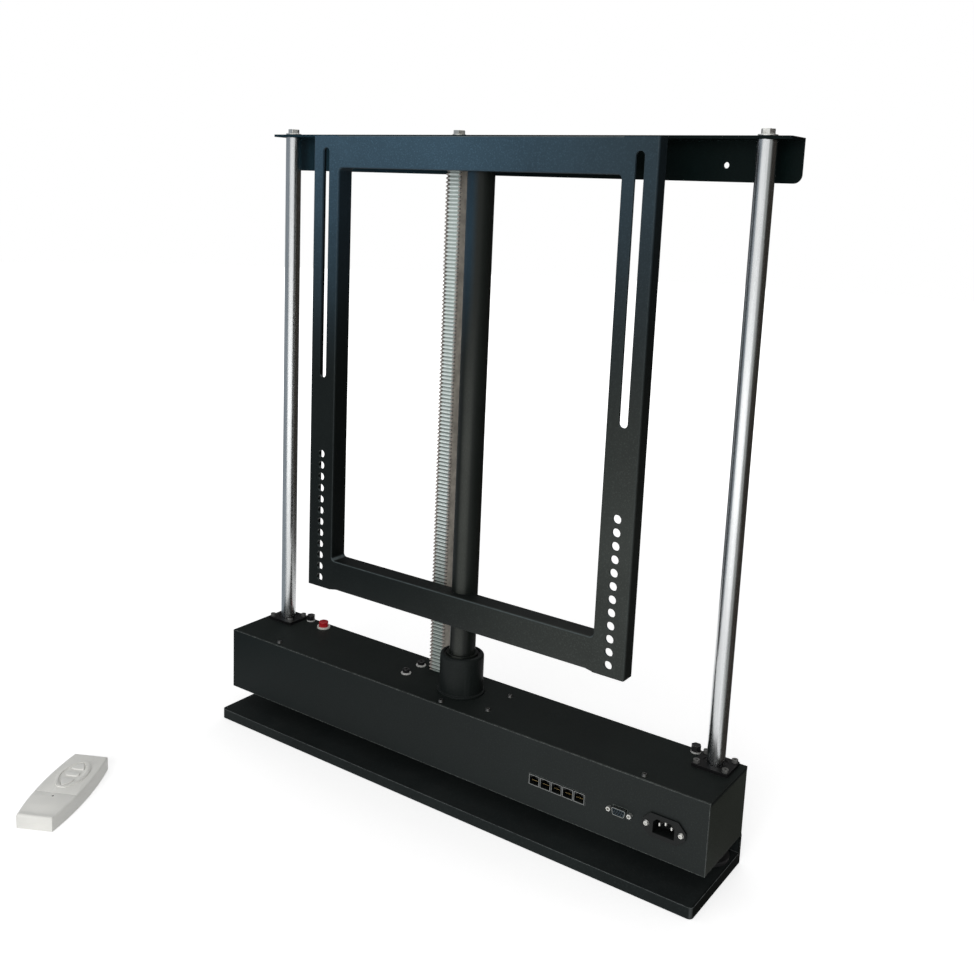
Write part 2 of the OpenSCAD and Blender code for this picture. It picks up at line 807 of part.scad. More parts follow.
// Flanged sleeves that run on the rods
module linear_bushes() {
    color([0.12, 0.12, 0.13]) for (x = [-rod_x, rod_x]) difference() {
        union() {
            translate([x, rod_y, top_z]) linear_extrude(flange_t) round_rect(flange_w, flange_d, 2);
            rod_z(x, rod_y, top_z - bush_len, top_z + flange_t, bush_d);
        }
        rod_z(x, rod_y, top_z - bush_len - eps, top_z + flange_t + eps, bush_d - 2 * sleeve_wall);
        at_flange_screws() small_hole_tall();
    }
}

module small_hole_tall() {
    cylinder(h = top_t + flange_t + eps, d = small_screw_d + 2 * slip);
}

// Low-friction liners inside the sleeves
module bush_liners() {
    color([0.85, 0.84, 0.78]) for (x = [-rod_x, rod_x]) difference() {
        rod_z(x, rod_y, top_z - bush_len, top_z + flange_t - liner_sunk, bush_d - 2 * sleeve_wall - 2 * snug);
        rod_z(x, rod_y, top_z - bush_len - eps, top_z + flange_t + eps, rod_d + 2 * rod_fit);
    }
}

module flange_screws() {
    color([0.75, 0.75, 0.74]) at_flange_screws() translate([0, 0, top_t + flange_t])
        socket_screw(small_head_d, 3.6, small_screw_d, top_t + flange_t + 2);
}

// Collar above the plate and the tube below it, with a seat at each end
module bearing_housing() {
    seat_d = bearing_d + 2 * snug;
    color([0.09, 0.09, 0.10]) difference() {
        union() {
            rod_z(0, 0, top_z, collar_top, collar_d);
            rod_z(0, 0, top_z, top_z + collar_ring_h, collar_ring_d);
            rod_z(0, 0, turn_plate_top, top_z + eps, housing_d);
        }
        rod_z(0, 0, turn_plate_top - eps, collar_top + eps, 2 * housing_bore_r);
        rod_z(0, 0, upper_bearing_z, collar_top + eps, seat_d);
        rod_z(0, 0, turn_plate_top - eps, lower_bearing_z + bearing_w, seat_d);
    }
}

module bearing_outers() {
    color([0.70, 0.71, 0.72]) for (z = [lower_bearing_z, upper_bearing_z])
        ring(z, z + bearing_w, 2 * race_out_r, bearing_d);
}

module bearing_inners() {
    color([0.70, 0.71, 0.72]) for (z = [lower_bearing_z, upper_bearing_z])
        ring(z, z + bearing_w, column_d + 2 * snug, 2 * race_in_r);
}

module bearing_balls() {
    color([0.80, 0.80, 0.81]) for (z = [lower_bearing_z, upper_bearing_z], i = [0:ball_count - 1])
        rotate([0, 0, i * 360 / ball_count]) translate([ball_ring_r, 0, z + bearing_w / 2]) sphere(ball_r);
}

// Motor that climbs the rack, with its rear cap and terminals
module lift_motor() {
    color([0.45, 0.46, 0.48]) {
        rod_along_x(-motor_x - motor_len, -motor_x, lift_y, lift_z, motor_d);
        rod_along_x(-motor_x - motor_len - 8, -motor_x - motor_len, lift_y, lift_z, motor_d * 0.45);
        for (s = [-1, 1]) block([-motor_x - motor_len - 7, lift_y + s * motor_d * 0.36 - 1.5, lift_z - 4],
            [-motor_x - motor_len, lift_y + s * motor_d * 0.36 + 1.5, lift_z + 4]);
    }
}

module lift_gearbox() {
    color([0.55, 0.56, 0.57]) difference() {
        rod_along_x(-motor_x, -gearbox_x, lift_y, lift_z, gearbox_d);
        rod_along_x(-gearbox_x - shaft_in - 2, -gearbox_x + eps, lift_y, lift_z, shaft_d + 2 * snug);
    }
}

// Bracket that hangs the gearbox from the top plate
module motor_bracket() {
    color([0.50, 0.51, 0.52]) difference() {
        union() {
            block([-mount_back_x, lift_y - gearbox_d / 2, floor_z + 4],
                [-mount_back_x + mount_t, lift_y + gearbox_d / 2, lid_z]);
            block([-mount_back_x, lift_y - gearbox_d / 2, lid_z - mount_t],
                [-mount_x, lift_y + gearbox_d / 2, lid_z]);
        }
        rod_along_x(-mount_back_x - eps, -mount_x, lift_y, lift_z, shaft_d + 4);
        for (y = bracket_screw_y) translate([-bracket_screw_x, y, lid_z]) small_hole();
    }
}

module shaft_bearing() {
    color([0.70, 0.71, 0.72]) difference() {
        rod_along_x(-block_x, -block_x + shaft_bearing_w, lift_y, lift_z, shaft_bearing_d);
        rod_along_x(-block_x - eps, -block_x + shaft_bearing_w + eps, lift_y, lift_z, shaft_d + 2 * snug);
    }
}

// Plate that holds the shaft's far bearing
module bearing_block() {
    half = shaft_bearing_d / 2 + 4;
    color([0.50, 0.51, 0.52]) difference() {
        block([-block_x, lift_y - half, lift_z - half], [-block_x + shaft_bearing_w, lift_y + half, lid_z]);
        rod_along_x(-block_x - eps, -block_x + shaft_bearing_w + eps, lift_y, lift_z,
            shaft_bearing_d + 2 * snug);
    }
}

// Pad behind the rack that keeps the teeth in mesh
module rack_guide() {
    color([0.85, 0.84, 0.78])
        block([-rack_x - rack_w / 2 - 4, rack_back + 0.3, lift_z - 15],
            [-rack_x + rack_w / 2 + 4, box_back - panel_t, lift_z + 15]);
}

module bracket_screws() {
    color([0.22, 0.22, 0.23]) for (y = bracket_screw_y) translate([-bracket_screw_x, y, top_z]) {
        cylinder(h = 1.2, d = 13);
        translate([0, 0, 1.2]) socket_screw(9, 5, small_screw_d, top_t + mount_t + 4);
    }
}

// Plate that carries the turning motor and the housing's lower end
module swivel_plate() {
    color([0.50, 0.51, 0.52]) difference() {
        block([-housing_d / 2 - 3, -standoff_y - 8, turn_plate_z],
            [standoff_x + 9, standoff_y + 8, turn_plate_top]);
        rod_z(0, 0, turn_plate_z - eps, turn_plate_top + eps, column_d + 6);
        rod_z(turn_x, 0, turn_plate_z - eps, turn_plate_top + eps, turn_shaft_d + 4);
        for (y = [-standoff_y, standoff_y])
            rod_z(standoff_x, y, turn_plate_z - eps, turn_plate_top + eps, small_screw_d + 2 * slip);
    }
}

module swivel_motor() {
    color([0.45, 0.46, 0.48]) difference() {
        rod_z(turn_x, 0, turn_plate_top, turn_plate_top + turn_motor_len, turn_motor_d);
        rod_z(turn_x, 0, turn_plate_top - eps, turn_plate_top + 6, turn_shaft_d + 2 * snug);
    }
}

module swivel_standoffs() {
    color([0.72, 0.72, 0.70]) for (y = [-standoff_y, standoff_y]) difference() {
        union() {
            rod_z(standoff_x, y, turn_plate_top, lid_z, standoff_d);
            rod_z(standoff_x, y, turn_plate_z - 3, turn_plate_top + eps, small_screw_d);
            rod_z(standoff_x, y, turn_plate_z - 3, turn_plate_z, small_head_d);
        }
        rod_z(standoff_x, y, lid_z - 12, lid_z + eps, small_screw_d + 2 * snug);
    }
}

module cover_screws() {
    color([0.70, 0.70, 0.68]) at_cover_screws() translate([0, 0, top_t])
        cross_screw(small_head_d, small_head_h, small_screw_d, top_t + panel_t + 4);
}

// Hexagon-head bolts beside the bushes
module stop_bolts() {
    color([0.62, 0.62, 0.60]) for (x = [-stop_x, stop_x]) translate([x, stop_y, top_z])
        hex_bolt(stop_af, stop_head_h, stop_washer_d, small_screw_d, top_t + 6);
}

module control_board() {
    color([0.10, 0.33, 0.18]) difference() {
        block([board_x0, box_front + panel_t + 1, board_z - board_t], [board_x1, board_back, board_z]);
        at_board_posts() translate([0, 0, -eps]) cylinder(h = 4, d = 3.2, center = true);
    }
    color([0.72, 0.72, 0.70]) at_board_posts()
        translate([0, 0, floor_z - board_z]) cylinder(h = board_z - board_t - floor_z, d = board_post_d);
}

module at_board_posts() {
    for (x = [board_x0 + board_post_d, board_x1 - board_post_d], y = [board_post_d, board_posts_apart])
        translate([x, board_back - y, board_z]) children();
}

// Relays, capacitors and cooling plate on the board
module board_parts() {
    color([0.15, 0.22, 0.45]) {
        for (i = [0:relays - 1])
            translate([jack_x + relay_w * (1 + 1.3 * i), board_back - relay_w * 1.9, board_z])
                cube([relay_w, relay_w * 1.2, relay_w]);
        for (i = [1:capacitors])
            rod_z(board_x1 - relay_w / 2 - i * capacitor_d * 1.2, board_back - relay_w,
                board_z, board_z + capacitor_d * 1.8, capacitor_d);
        translate([jack_x + relay_w, board_back - 2 * fin_t, board_z])
            cube([relay_w * 4, fin_t, relay_w * 1.3]);
    }
}

module power_supply() {
    color([0.60, 0.61, 0.62]) block([jack_x, board_back + supply_gap, floor_z],
        [jack_x + supply_w, box_back - panel_t - supply_gap, floor_z + supply_h]);
}

// Five modular jacks in one block
module jack_block() {
    color([0.07, 0.07, 0.08]) difference() {
        block([jack_x + jack_fit, box_front - jack_proud, board_z],
            [jack_x + jack_row_w - jack_fit, box_front + jack_body_d, jack_z + jack_h / 2 - jack_fit]);
        for (i = [0:jacks - 1]) translate([jack_x + (i + 0.5) * jack_pitch, 0, jack_z]) {
            block([-jack_hole_w / 2, box_front - jack_proud - eps, -jack_hole_h / 2 - jack_drop],
                [jack_hole_w / 2, box_front + jack_depth, jack_hole_h / 2 - jack_drop]);
            block([-2.6, box_front - jack_proud - eps, jack_hole_h / 2 - jack_drop - eps],
                [2.6, box_front + jack_depth, jack_hole_h / 2 + 1.4]);
        }
    }
}

// Outline of the serial socket's shell
module serial_outline(grow) {
    top = 8.4 + grow;
    low = 6.9 + grow;
    h = 4.2 + grow;
    polygon([[-top, h], [top, h], [low, -h], [-low, -h]]);
}

module serial_socket() {
    flange_half = serial_span / 2 + 3.2;
    color([0.70, 0.70, 0.66]) translate([serial_x, box_front, socket_z]) difference() {
        union() {
            rotate([90, 0, 0]) linear_extrude(5) serial_outline(0);
            translate([0, panel_t, 0]) rotate([90, 0, 0]) linear_extrude(panel_t + eps) serial_outline(0);
            block([-flange_half, panel_t, -6.2], [flange_half, panel_t + 1, 6.2]);
            block([-9, panel_t, -6.2], [9, panel_t + 9, 6.2]);
            block([-7, panel_t + 5, board_z - socket_z], [7, panel_t + 9, 0]);
        }
        for (i = [-2:2]) rod_along_y(i * 2.76, -6, 2, 1.4, 1.3);
        for (i = [-2:1]) rod_along_y((i + 0.5) * 2.76, -6, 2, -1.4, 1.3);
        for (x = [-1, 1]) rod_along_y(x * serial_span / 2, 0, 6, 0, socket_screw_d - 0.2);
    }
}

module socket_posts() {
    color([0.78, 0.78, 0.74]) for (x = [-1, 1])
        translate([serial_x + x * serial_span / 2, box_front, socket_z]) rotate([90, 0, 0]) {
            difference() {
                cylinder(h = 5, d = 5.5, $fn = 6);
                translate([0, 0, 1]) cylinder(h = 5, d = 3);
            }
            translate([0, 0, -panel_t - 3]) cylinder(h = panel_t + 3 + 0.5, d = 2.8);
        }
}

// Mains inlet with a flange in front of the panel
module mains_inlet() {
    color([0.05, 0.05, 0.06]) translate([inlet_x, box_front, socket_z]) difference() {
        union() {
            rotate([90, 0, 0]) linear_extrude(inlet_flange_t) inlet_flange();
            block([-inlet_w / 2 - 1.6, -eps, -inlet_h / 2 - 1.6],
                [inlet_w / 2 + 1.6, inlet_depth + 3, inlet_h / 2 + 1.6]);
        }
        translate([0, inlet_depth - inlet_flange_t, 0]) rotate([90, 0, 0])
            linear_extrude(inlet_depth + eps) inlet_mouth();
        for (x = [-1, 1])
            rod_along_y(x * inlet_span / 2, -inlet_flange_t - eps, eps, 0, socket_screw_d);
        for (p = inlet_pin_places) block([p[0] - 1.05, inlet_depth - inlet_flange_t - eps, p[1] - 2.05],
            [p[0] + 1.05, inlet_depth + 3 + eps, p[1] + 2.05]);
    }
}

inlet_pin_places = [[-7, 0.5], [0, 3.5], [7, 0.5]];

module inlet_flange() {
    w = inlet_flange_w;
    h = inlet_flange_h;
    polygon([[-w / 2, -4], [-w / 2 + 9, -h / 2], [w / 2 - 9, -h / 2], [w / 2, -4],
        [w / 2, 4], [w / 2 - 9, h / 2], [-w / 2 + 9, h / 2], [-w / 2, 4]]);
}

// Mouth with its two upper corners cut off
module inlet_mouth() {
    polygon([[-inlet_w / 2, -inlet_h / 2], [inlet_w / 2, -inlet_h / 2], [inlet_w / 2, inlet_h / 2 - 4],
        [inlet_w / 2 - 4, inlet_h / 2], [-inlet_w / 2 + 4, inlet_h / 2], [-inlet_w / 2, inlet_h / 2 - 4]]);
}

module inlet_pins() {
    color([0.80, 0.80, 0.78]) translate([inlet_x, box_front, socket_z])
        for (p = inlet_pin_places) block([p[0] - 1, 2, p[1] - 2], [p[0] + 1, inlet_depth + 8, p[1] + 2]);
}

module inlet_screws() {
    color([0.78, 0.78, 0.76]) for (x = [-1, 1])
        translate([inlet_x + x * inlet_span / 2, box_front - inlet_flange_t, socket_z]) rotate([90, 0, 0])
            cross_screw(6.5, 2, 3, inlet_flange_t + panel_t + 4);
}

// Bezel, threaded body and nut of the push button
module button_body() {
    color([0.80, 0.80, 0.80]) translate([-button_x, button_y, 0]) difference() {
        union() {
            rod_z(0, 0, top_z, top_z + bezel_h, bezel_d);
            rod_z(0, 0, top_z - button_depth, top_z + eps, button_thread_d);
            translate([0, 0, lid_z - 3]) cylinder(h = 3, d = bezel_d + 2, $fn = 6);
        }
        rod_z(0, 0, top_z - button_depth + 2, top_z + bezel_h + eps, cap_d + 2 * apart);
    }
}

module red_button() {
    color([0.65, 0.05, 0.06]) translate([-button_x, button_y, 0])
        rod_z(0, 0, top_z - button_depth + 6, top_z + bezel_h + cap_h, cap_d);
}

// Pinion on the rack, turned so that a tooth points at the rack
module lift_pinion() {
    color([0.66, 0.64, 0.58]) translate([-rack_x - rack_w / 2, lift_y, lift_z]) difference() {
        rotate([90, 0, 90]) gear(rack_m, lift_teeth, rack_w);
        rotate([0, 90, 0]) translate([0, 0, -eps]) cylinder(h = rack_w + 2 * eps, d = shaft_d + 2 * snug);
    }
}

module pinion_shaft() {
    color([0.74, 0.75, 0.76])
        rod_along_x(-gearbox_x - shaft_in, -block_x + shaft_bearing_w + 2, lift_y, lift_z, shaft_d);
}

// Pinion and shaft of the turning motor, turned so that a gap meets the gear's tooth
module swivel_pinion() {
    color([0.66, 0.64, 0.58]) translate([turn_x, 0, gear_z]) {
        rotate([0, 0, 180 + 180 / pinion_teeth]) gear(gear_m, pinion_teeth, gear_w);
        cylinder(h = turn_plate_top + 5 - gear_z, d = turn_shaft_d);
    }
}

module swivel_gear() {
    hub_d = column_d + 5;
    color([0.66, 0.64, 0.58]) difference() {
        union() {
            translate([0, 0, gear_z]) gear(gear_m, gear_teeth, gear_w);
            rod_z(0, 0, gear_z, lower_bearing_z, hub_d);
        }
        rod_z(0, 0, gear_z - eps, lower_bearing_z + eps, column_d + 2 * snug);
    }
}

// Tube from the gear up to the top rail
module column() {
    color([0.10, 0.10, 0.11]) difference() {
        rod_z(0, 0, gear_z - 2, frame_top, column_d);
        rod_z(0, 0, gear_z - 2 - eps, frame_top + eps, column_d - 2 * column_wall);
    }
}

// Ring that rests the column on its upper bearing
module load_ring() {
    color([0.20, 0.20, 0.21])
        ring(upper_bearing_z + bearing_w, collar_top + 1, column_d + 2 * snug, 2 * race_in_r + 3);
}

// Post with its slot above and its row of holes below
module post(side) {
    outer_x = side * frame_w / 2;
    difference() {
        translate([side * post_x, frame_front, frame_z])
            linear_extrude(frame_h) channel_outline(post_w, frame_d);
        block([outer_x - frame_t - slip, frame_front + post_lip, frame_z - eps],
            [outer_x + frame_t + slip, frame_back + eps, frame_top + eps]);
        translate([side * post_x, frame_front + frame_t + eps, post_slot_z]) rotate([90, 0, 0])
            linear_extrude(frame_t + 2 * eps) translate([0, post_slot_len / 2])
                round_rect(post_slot_w, post_slot_len, post_slot_w / 2 - 0.001);
        for (i = [0:post_holes - 1]) rod_along_y(side * post_x, frame_front - eps,
            frame_front + frame_t + eps, frame_z + post_hole_start + i * post_hole_pitch, post_hole_d);
    }
}

module left_post() {
    color([0.11, 0.13, 0.15]) post(-1);
}

module right_post() {
    color([0.11, 0.13, 0.15]) post(1);
}

// Rail between the posts, notched at the back for the column
module rail(z0, height) {
    difference() {
        translate([-rail_len / 2, frame_front, z0 + height / 2]) rotate([90, 0, 90])
            linear_extrude(rail_len) rotate([0, 0, -90]) channel_outline(height, frame_d);
        rod_z(0, 0, z0 - eps, z0 + height + eps, column_d + 2 * snug);
    }
}

module top_rail() {
    color([0.12, 0.15, 0.17]) rail(top_rail_z, top_rail_h);
}

module bottom_rail() {
    color([0.11, 0.13, 0.14]) rail(bottom_rail_z, bottom_rail_h);
}

// Blocks inside the rails that the column is welded to
module rail_saddles() {
    color([0.11, 0.12, 0.13]) {
        saddle(top_rail_z, top_rail_h);
        saddle(bottom_rail_z, bottom_rail_h);
    }
}

module saddle(z0, height) {
    difference() {
        block([-column_d / 2 - 8, frame_front + frame_t, z0 + frame_t],
            [column_d / 2 + 8, frame_back, z0 + height - frame_t]);
        rod_z(0, 0, z0, z0 + height, column_d + 2 * snug);
    }
}

base_plate();
guide_rods();
rod_feet();
gear_rack();
top_bracket();
rod_bolts();
rack_bolt();
base_screws();
handset_base();
handset_cover();
handset_board();
up_key();
stop_key();
down_key();
top_plate();
front_panel();
rear_panel();
end_plates();
bottom_panel();
linear_bushes();
bush_liners();
flange_screws();
bearing_housing();
bearing_outers();
bearing_balls();
lift_motor();
lift_gearbox();
motor_bracket();
shaft_bearing();
bearing_block();
rack_guide();
bracket_screws();
swivel_plate();
swivel_motor();
swivel_standoffs();
cover_screws();
stop_bolts();
control_board();
board_parts();
power_supply();
jack_block();
serial_socket();
socket_posts();
mains_inlet();
inlet_pins();
inlet_screws();
button_body();
red_button();
lift_pinion();
pinion_shaft();
swivel_pinion();
column();
bearing_inners();
swivel_gear();
left_post();
right_post();
top_rail();
bottom_rail();
rail_saddles();
load_ring();
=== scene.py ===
# Rotating lift stand for a television: finishes, small parts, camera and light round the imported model
import json
import math

import bmesh
import bpy
from mathutils import Matrix, Vector


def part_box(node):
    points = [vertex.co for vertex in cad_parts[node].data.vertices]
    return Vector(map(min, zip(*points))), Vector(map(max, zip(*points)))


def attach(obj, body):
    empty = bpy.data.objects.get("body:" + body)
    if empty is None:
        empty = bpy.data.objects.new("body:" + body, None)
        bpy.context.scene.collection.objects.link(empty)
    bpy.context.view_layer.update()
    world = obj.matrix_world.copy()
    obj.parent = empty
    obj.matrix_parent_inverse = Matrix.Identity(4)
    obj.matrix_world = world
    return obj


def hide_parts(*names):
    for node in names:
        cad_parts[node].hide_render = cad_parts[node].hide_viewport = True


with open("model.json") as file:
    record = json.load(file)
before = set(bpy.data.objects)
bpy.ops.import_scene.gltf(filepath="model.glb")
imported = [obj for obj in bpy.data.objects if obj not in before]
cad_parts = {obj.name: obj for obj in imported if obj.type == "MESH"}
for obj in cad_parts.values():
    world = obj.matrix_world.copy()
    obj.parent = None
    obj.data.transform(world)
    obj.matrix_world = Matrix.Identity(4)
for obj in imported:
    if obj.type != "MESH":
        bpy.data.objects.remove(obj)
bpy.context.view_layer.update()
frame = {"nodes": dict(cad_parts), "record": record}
nodes = frame["nodes"]
scene = bpy.context.scene


def mm(*values):
    if len(values) == 1:
        return values[0] * 0.001
    return Vector([v * 0.001 for v in values])


# the camera stands where the photograph's edges put it, in millimetres and degrees
view = dict(place=(732.1, -1053.1, 722.6), yaw=35.213, pitch=9.998, roll=2.227, focalPixels=1108.38,
            imagePixels=974, axisX=465.1, axisY=389.3, sensor=36, clipEnd=60)


def placeCamera(look):
    yaw, pitch, roll = (math.radians(look[k]) for k in ("yaw", "pitch", "roll"))
    ahead = Vector((-math.sin(yaw) * math.cos(pitch), math.cos(yaw) * math.cos(pitch), -math.sin(pitch)))
    right = Vector((math.cos(yaw), math.sin(yaw), 0))
    up = right.cross(ahead)
    turnedRight = math.cos(roll) * right + math.sin(roll) * up
    turnedUp = -math.sin(roll) * right + math.cos(roll) * up
    data = bpy.data.cameras.new("photoCamera")
    data.sensor_width = look["sensor"]
    data.lens = look["focalPixels"] / look["imagePixels"] * look["sensor"]
    data.shift_x = 0.5 - look["axisX"] / look["imagePixels"]
    data.shift_y = look["axisY"] / look["imagePixels"] - 0.5
    data.clip_end = look["clipEnd"]
    camera = bpy.data.objects.new("photoCamera", data)
    turn = Matrix((turnedRight, turnedUp, -ahead)).transposed().to_4x4()
    camera.matrix_world = Matrix.Translation(mm(*look["place"])) @ turn
    scene.collection.objects.link(camera)
    scene.camera = camera
    return ahead


cameraAhead = placeCamera(view)
print("camera set")


def newNode(tree, kind, **settings):
    node = tree.nodes.new(kind)
    for key, value in settings.items():
        setattr(node, key, value)
    return node


def join(tree, outSocket, inSocket):
    tree.links.new(outSocket, inSocket)


def feed(tree, socket, value):
    # another node's output is linked, a number, a vector or a colour is set
    if isinstance(value, bpy.types.NodeSocket):
        join(tree, value, socket)
    elif socket.type == "RGBA":
        socket.default_value = (*value, 1)
    else:
        socket.default_value = value


def sumOf(tree, operation, first, second=0, clamp=False):
    node = newNode(tree, "ShaderNodeMath", operation=operation, use_clamp=clamp)
    feed(tree, node.inputs[0], first)
    feed(tree, node.inputs[1], second)
    return node.outputs[0]


def product(tree, first, second, clamp=False):
    return sumOf(tree, "MULTIPLY", first, second, clamp)


def dotOf(tree, first, second):
    node = newNode(tree, "ShaderNodeVectorMath", operation="DOT_PRODUCT")
    feed(tree, node.inputs[0], first)
    feed(tree, node.inputs[1], second)
    return node.outputs["Value"]


def axesOf(tree, vector):
    node = newNode(tree, "ShaderNodeSeparateXYZ")
    join(tree, vector, node.inputs[0])
    return node.outputs


def spread(tree, value, fromSpan, toSpan=(0, 1), way="LINEAR"):
    node = newNode(tree, "ShaderNodeMapRange", interpolation_type=way)
    for name, number in zip(("From Min", "From Max", "To Min", "To Max"), (*fromSpan, *toSpan)):
        node.inputs[name].default_value = number
    join(tree, value, node.inputs["Value"])
    return node.outputs["Result"]


def eased(tree, value, fromSpan, toSpan=(0, 1)):
    return spread(tree, value, fromSpan, toSpan, "SMOOTHSTEP")


def blendColours(tree, mask, first, second):
    node = newNode(tree, "ShaderNodeMix", data_type="RGBA")
    join(tree, mask, node.inputs[0])
    feed(tree, node.inputs[6], first)
    feed(tree, node.inputs[7], second)
    return node.outputs[2]


def lighter(colour, factor):
    return tuple(min(1, c * factor) for c in colour)


def varied(tree, mask, colour, factors):
    # the colour between a darker and a lighter multiple of itself
    return blendColours(tree, mask, lighter(colour, factors[0]), lighter(colour, factors[1]))


def noise(tree, vector, scale, detail=2, rough=0.5):
    node = newNode(tree, "ShaderNodeTexNoise")
    node.inputs["Detail"].default_value = detail
    node.inputs["Roughness"].default_value = rough
    join(tree, vector, node.inputs["Vector"])
    feed(tree, node.inputs["Scale"], scale)
    return node.outputs["Fac"]


def blotches(tree, vector, scale, detail, rough, span, least=0, most=1):
    return spread(tree, noise(tree, vector, scale, detail, rough), span, (least, most))


def mixedNoise(tree, first, second, shares):
    return sumOf(tree, "ADD", product(tree, first, shares[0]), product(tree, second, shares[1]))


def stretched(tree, vector, factors):
    node = newNode(tree, "ShaderNodeMapping")
    node.inputs["Scale"].default_value = factors
    join(tree, vector, node.inputs["Vector"])
    return node.outputs["Vector"]


def newGroup(name, vectors, numbers, masks):
    group = bpy.data.node_groups.new(name, "ShaderNodeTree")
    for label in vectors:
        group.interface.new_socket(name=label, in_out="INPUT", socket_type="NodeSocketVector")
    for label, start in numbers.items():
        socket = group.interface.new_socket(name=label, in_out="INPUT", socket_type="NodeSocketFloat")
        socket.default_value = start
    for label in masks:
        group.interface.new_socket(name=label, in_out="OUTPUT", socket_type="NodeSocketFloat")
    entry = group.nodes.new("NodeGroupInput")
    leave = group.nodes.new("NodeGroupOutput")
    return group, entry.outputs, leave.inputs


coatGrain = dict(detail=3, rough=0.6, fineStep=3.1, fineDetail=1, shares=(0.75, 0.25), speck=(0.52, 0.72),
                 clouds=dict(scale=7, detail=4, rough=0.55, span=(0.32, 0.68)))


def powderCoatGroup(look):
    # fine orange-peel grain with a slow change of tone over the sheet
    group, entry, leave = newGroup("powderCoat", ["Vector"], dict(Grain=700), ["Height", "Tone", "Speck"])
    coarse = noise(group, entry["Vector"], entry["Grain"], look["detail"], look["rough"])
    fineGrain = product(group, entry["Grain"], look["fineStep"])
    fine = noise(group, entry["Vector"], fineGrain, look["fineDetail"])
    join(group, mixedNoise(group, coarse, fine, look["shares"]), leave["Height"])
    join(group, blotches(group, entry["Vector"], **look["clouds"]), leave["Tone"])
    join(group, spread(group, coarse, look["speck"]), leave["Speck"])
    return group


dustFall = dict(facing=(0.55, 0.98),
                patches=dict(scale=38, detail=5, rough=0.62, span=(0.38, 0.72), least=0.15),
                grains=dict(scale=900, detail=2, rough=0.7, span=(0.4, 0.65), least=0.35))


def settledDustGroup(look):
    # thin dust on faces that look up, thicker in patches
    group, entry, leave = newGroup("settledDust", ["Vector", "Normal"], {}, ["Mask"])
    facing = eased(group, axesOf(group, entry["Normal"])["Z"], look["facing"])
    patches = blotches(group, entry["Vector"], **look["patches"])
    grains = blotches(group, entry["Vector"], **look["grains"])
    join(group, product(group, facing, product(group, patches, grains), True), leave["Mask"])
    return group


edgeWearAndHighlightShape = dict(samples=6, likeness=(0.99, 0.86),
               broken=dict(scale=160, detail=4, rough=0.6, span=(0.35, 0.62), least=0.25))


def edgeWearAndHighlightGroup(look):
    # picks out the outer edges, broken up; partly handling wear, partly painted highlight on edges that would
    # catch the light
    group, entry, leave = newGroup("edgeWearAndHighlight", ["Vector"], dict(Width=0.001), ["Mask"])
    rounded = newNode(group, "ShaderNodeBevel", samples=look["samples"])
    join(group, entry["Width"], rounded.inputs["Radius"])
    plain = newNode(group, "ShaderNodeNewGeometry")
    likeness = dotOf(group, rounded.outputs["Normal"], plain.outputs["Normal"])
    edge = spread(group, likeness, look["likeness"])
    broken = blotches(group, entry["Vector"], **look["broken"])
    join(group, product(group, edge, broken, True), leave["Mask"])
    return group


bendHighlightShape = dict(flat=(0.985, 0.86), lifted=(0.05, 0.5), liftedLeast=0.22,
               broken=dict(scale=90, detail=4, rough=0.6, span=(0.3, 0.65), least=0.45))


def bendHighlightGroup(look):
    # painted highlight on the rounded bends of sheet metal, most on those that look up, broken up by noise
    group, entry, leave = newGroup("bendHighlight", ["Vector", "Normal"], {}, ["Mask"])
    way = axesOf(group, entry["Normal"])
    across, along, up = (sumOf(group, "ABSOLUTE", way[k]) for k in ("X", "Y", "Z"))
    flat = sumOf(group, "MAXIMUM", sumOf(group, "MAXIMUM", across, along), up)
    bend = spread(group, flat, look["flat"])
    lifted = spread(group, way["Z"], look["lifted"], (look["liftedLeast"], 1))
    broken = blotches(group, entry["Vector"], **look["broken"])
    join(group, product(group, product(group, bend, lifted), broken, True), leave["Mask"])
    return group


toolCuts = dict(detail=3, rough=0.65, broadStep=0.12, shares=(0.6, 0.4), streak=(0.36, 0.64))


def toolMarksGroup(look):
    # long fine scratches; the vector is already stretched along the tool's way
    group, entry, leave = newGroup("toolMarks", ["Vector"], dict(Scale=500), ["Height", "Streak"])
    fine = noise(group, entry["Vector"], entry["Scale"], look["detail"], look["rough"])
    broad = noise(group, entry["Vector"], product(group, entry["Scale"], look["broadStep"]))
    join(group, fine, leave["Height"])
    both = mixedNoise(group, fine, broad, look["shares"])
    join(group, spread(group, both, look["streak"]), leave["Streak"])
    return group


mouldSkin = dict(detail=2, rough=0.6, clouds=dict(scale=22, detail=3, rough=0.5, span=(0.3, 0.7)))


def mouldedPlasticGroup(look):
    # faint spark-eroded texture and slow cloudiness of a moulding
    group, entry, leave = newGroup("mouldedPlastic", ["Vector"], dict(Grain=2200), ["Height", "Cloud"])
    height = noise(group, entry["Vector"], entry["Grain"], look["detail"], look["rough"])
    join(group, height, leave["Height"])
    join(group, blotches(group, entry["Vector"], **look["clouds"]), leave["Cloud"])
    return group


powderCoat = powderCoatGroup(coatGrain)
settledDust = settledDustGroup(dustFall)
edgeWearAndHighlight = edgeWearAndHighlightGroup(edgeWearAndHighlightShape)
bendHighlight = bendHighlightGroup(bendHighlightShape)
toolMarks = toolMarksGroup(toolCuts)
mouldedPlastic = mouldedPlasticGroup(mouldSkin)


def placed(tree, group, **inputs):
    node = newNode(tree, "ShaderNodeGroup")
    node.node_tree = group
    for key, value in inputs.items():
        feed(tree, node.inputs[key], value)
    return node.outputs


def blankMaterial(name):
    material = bpy.data.materials.new(name)
    material.use_nodes = True
    return material, material.node_tree


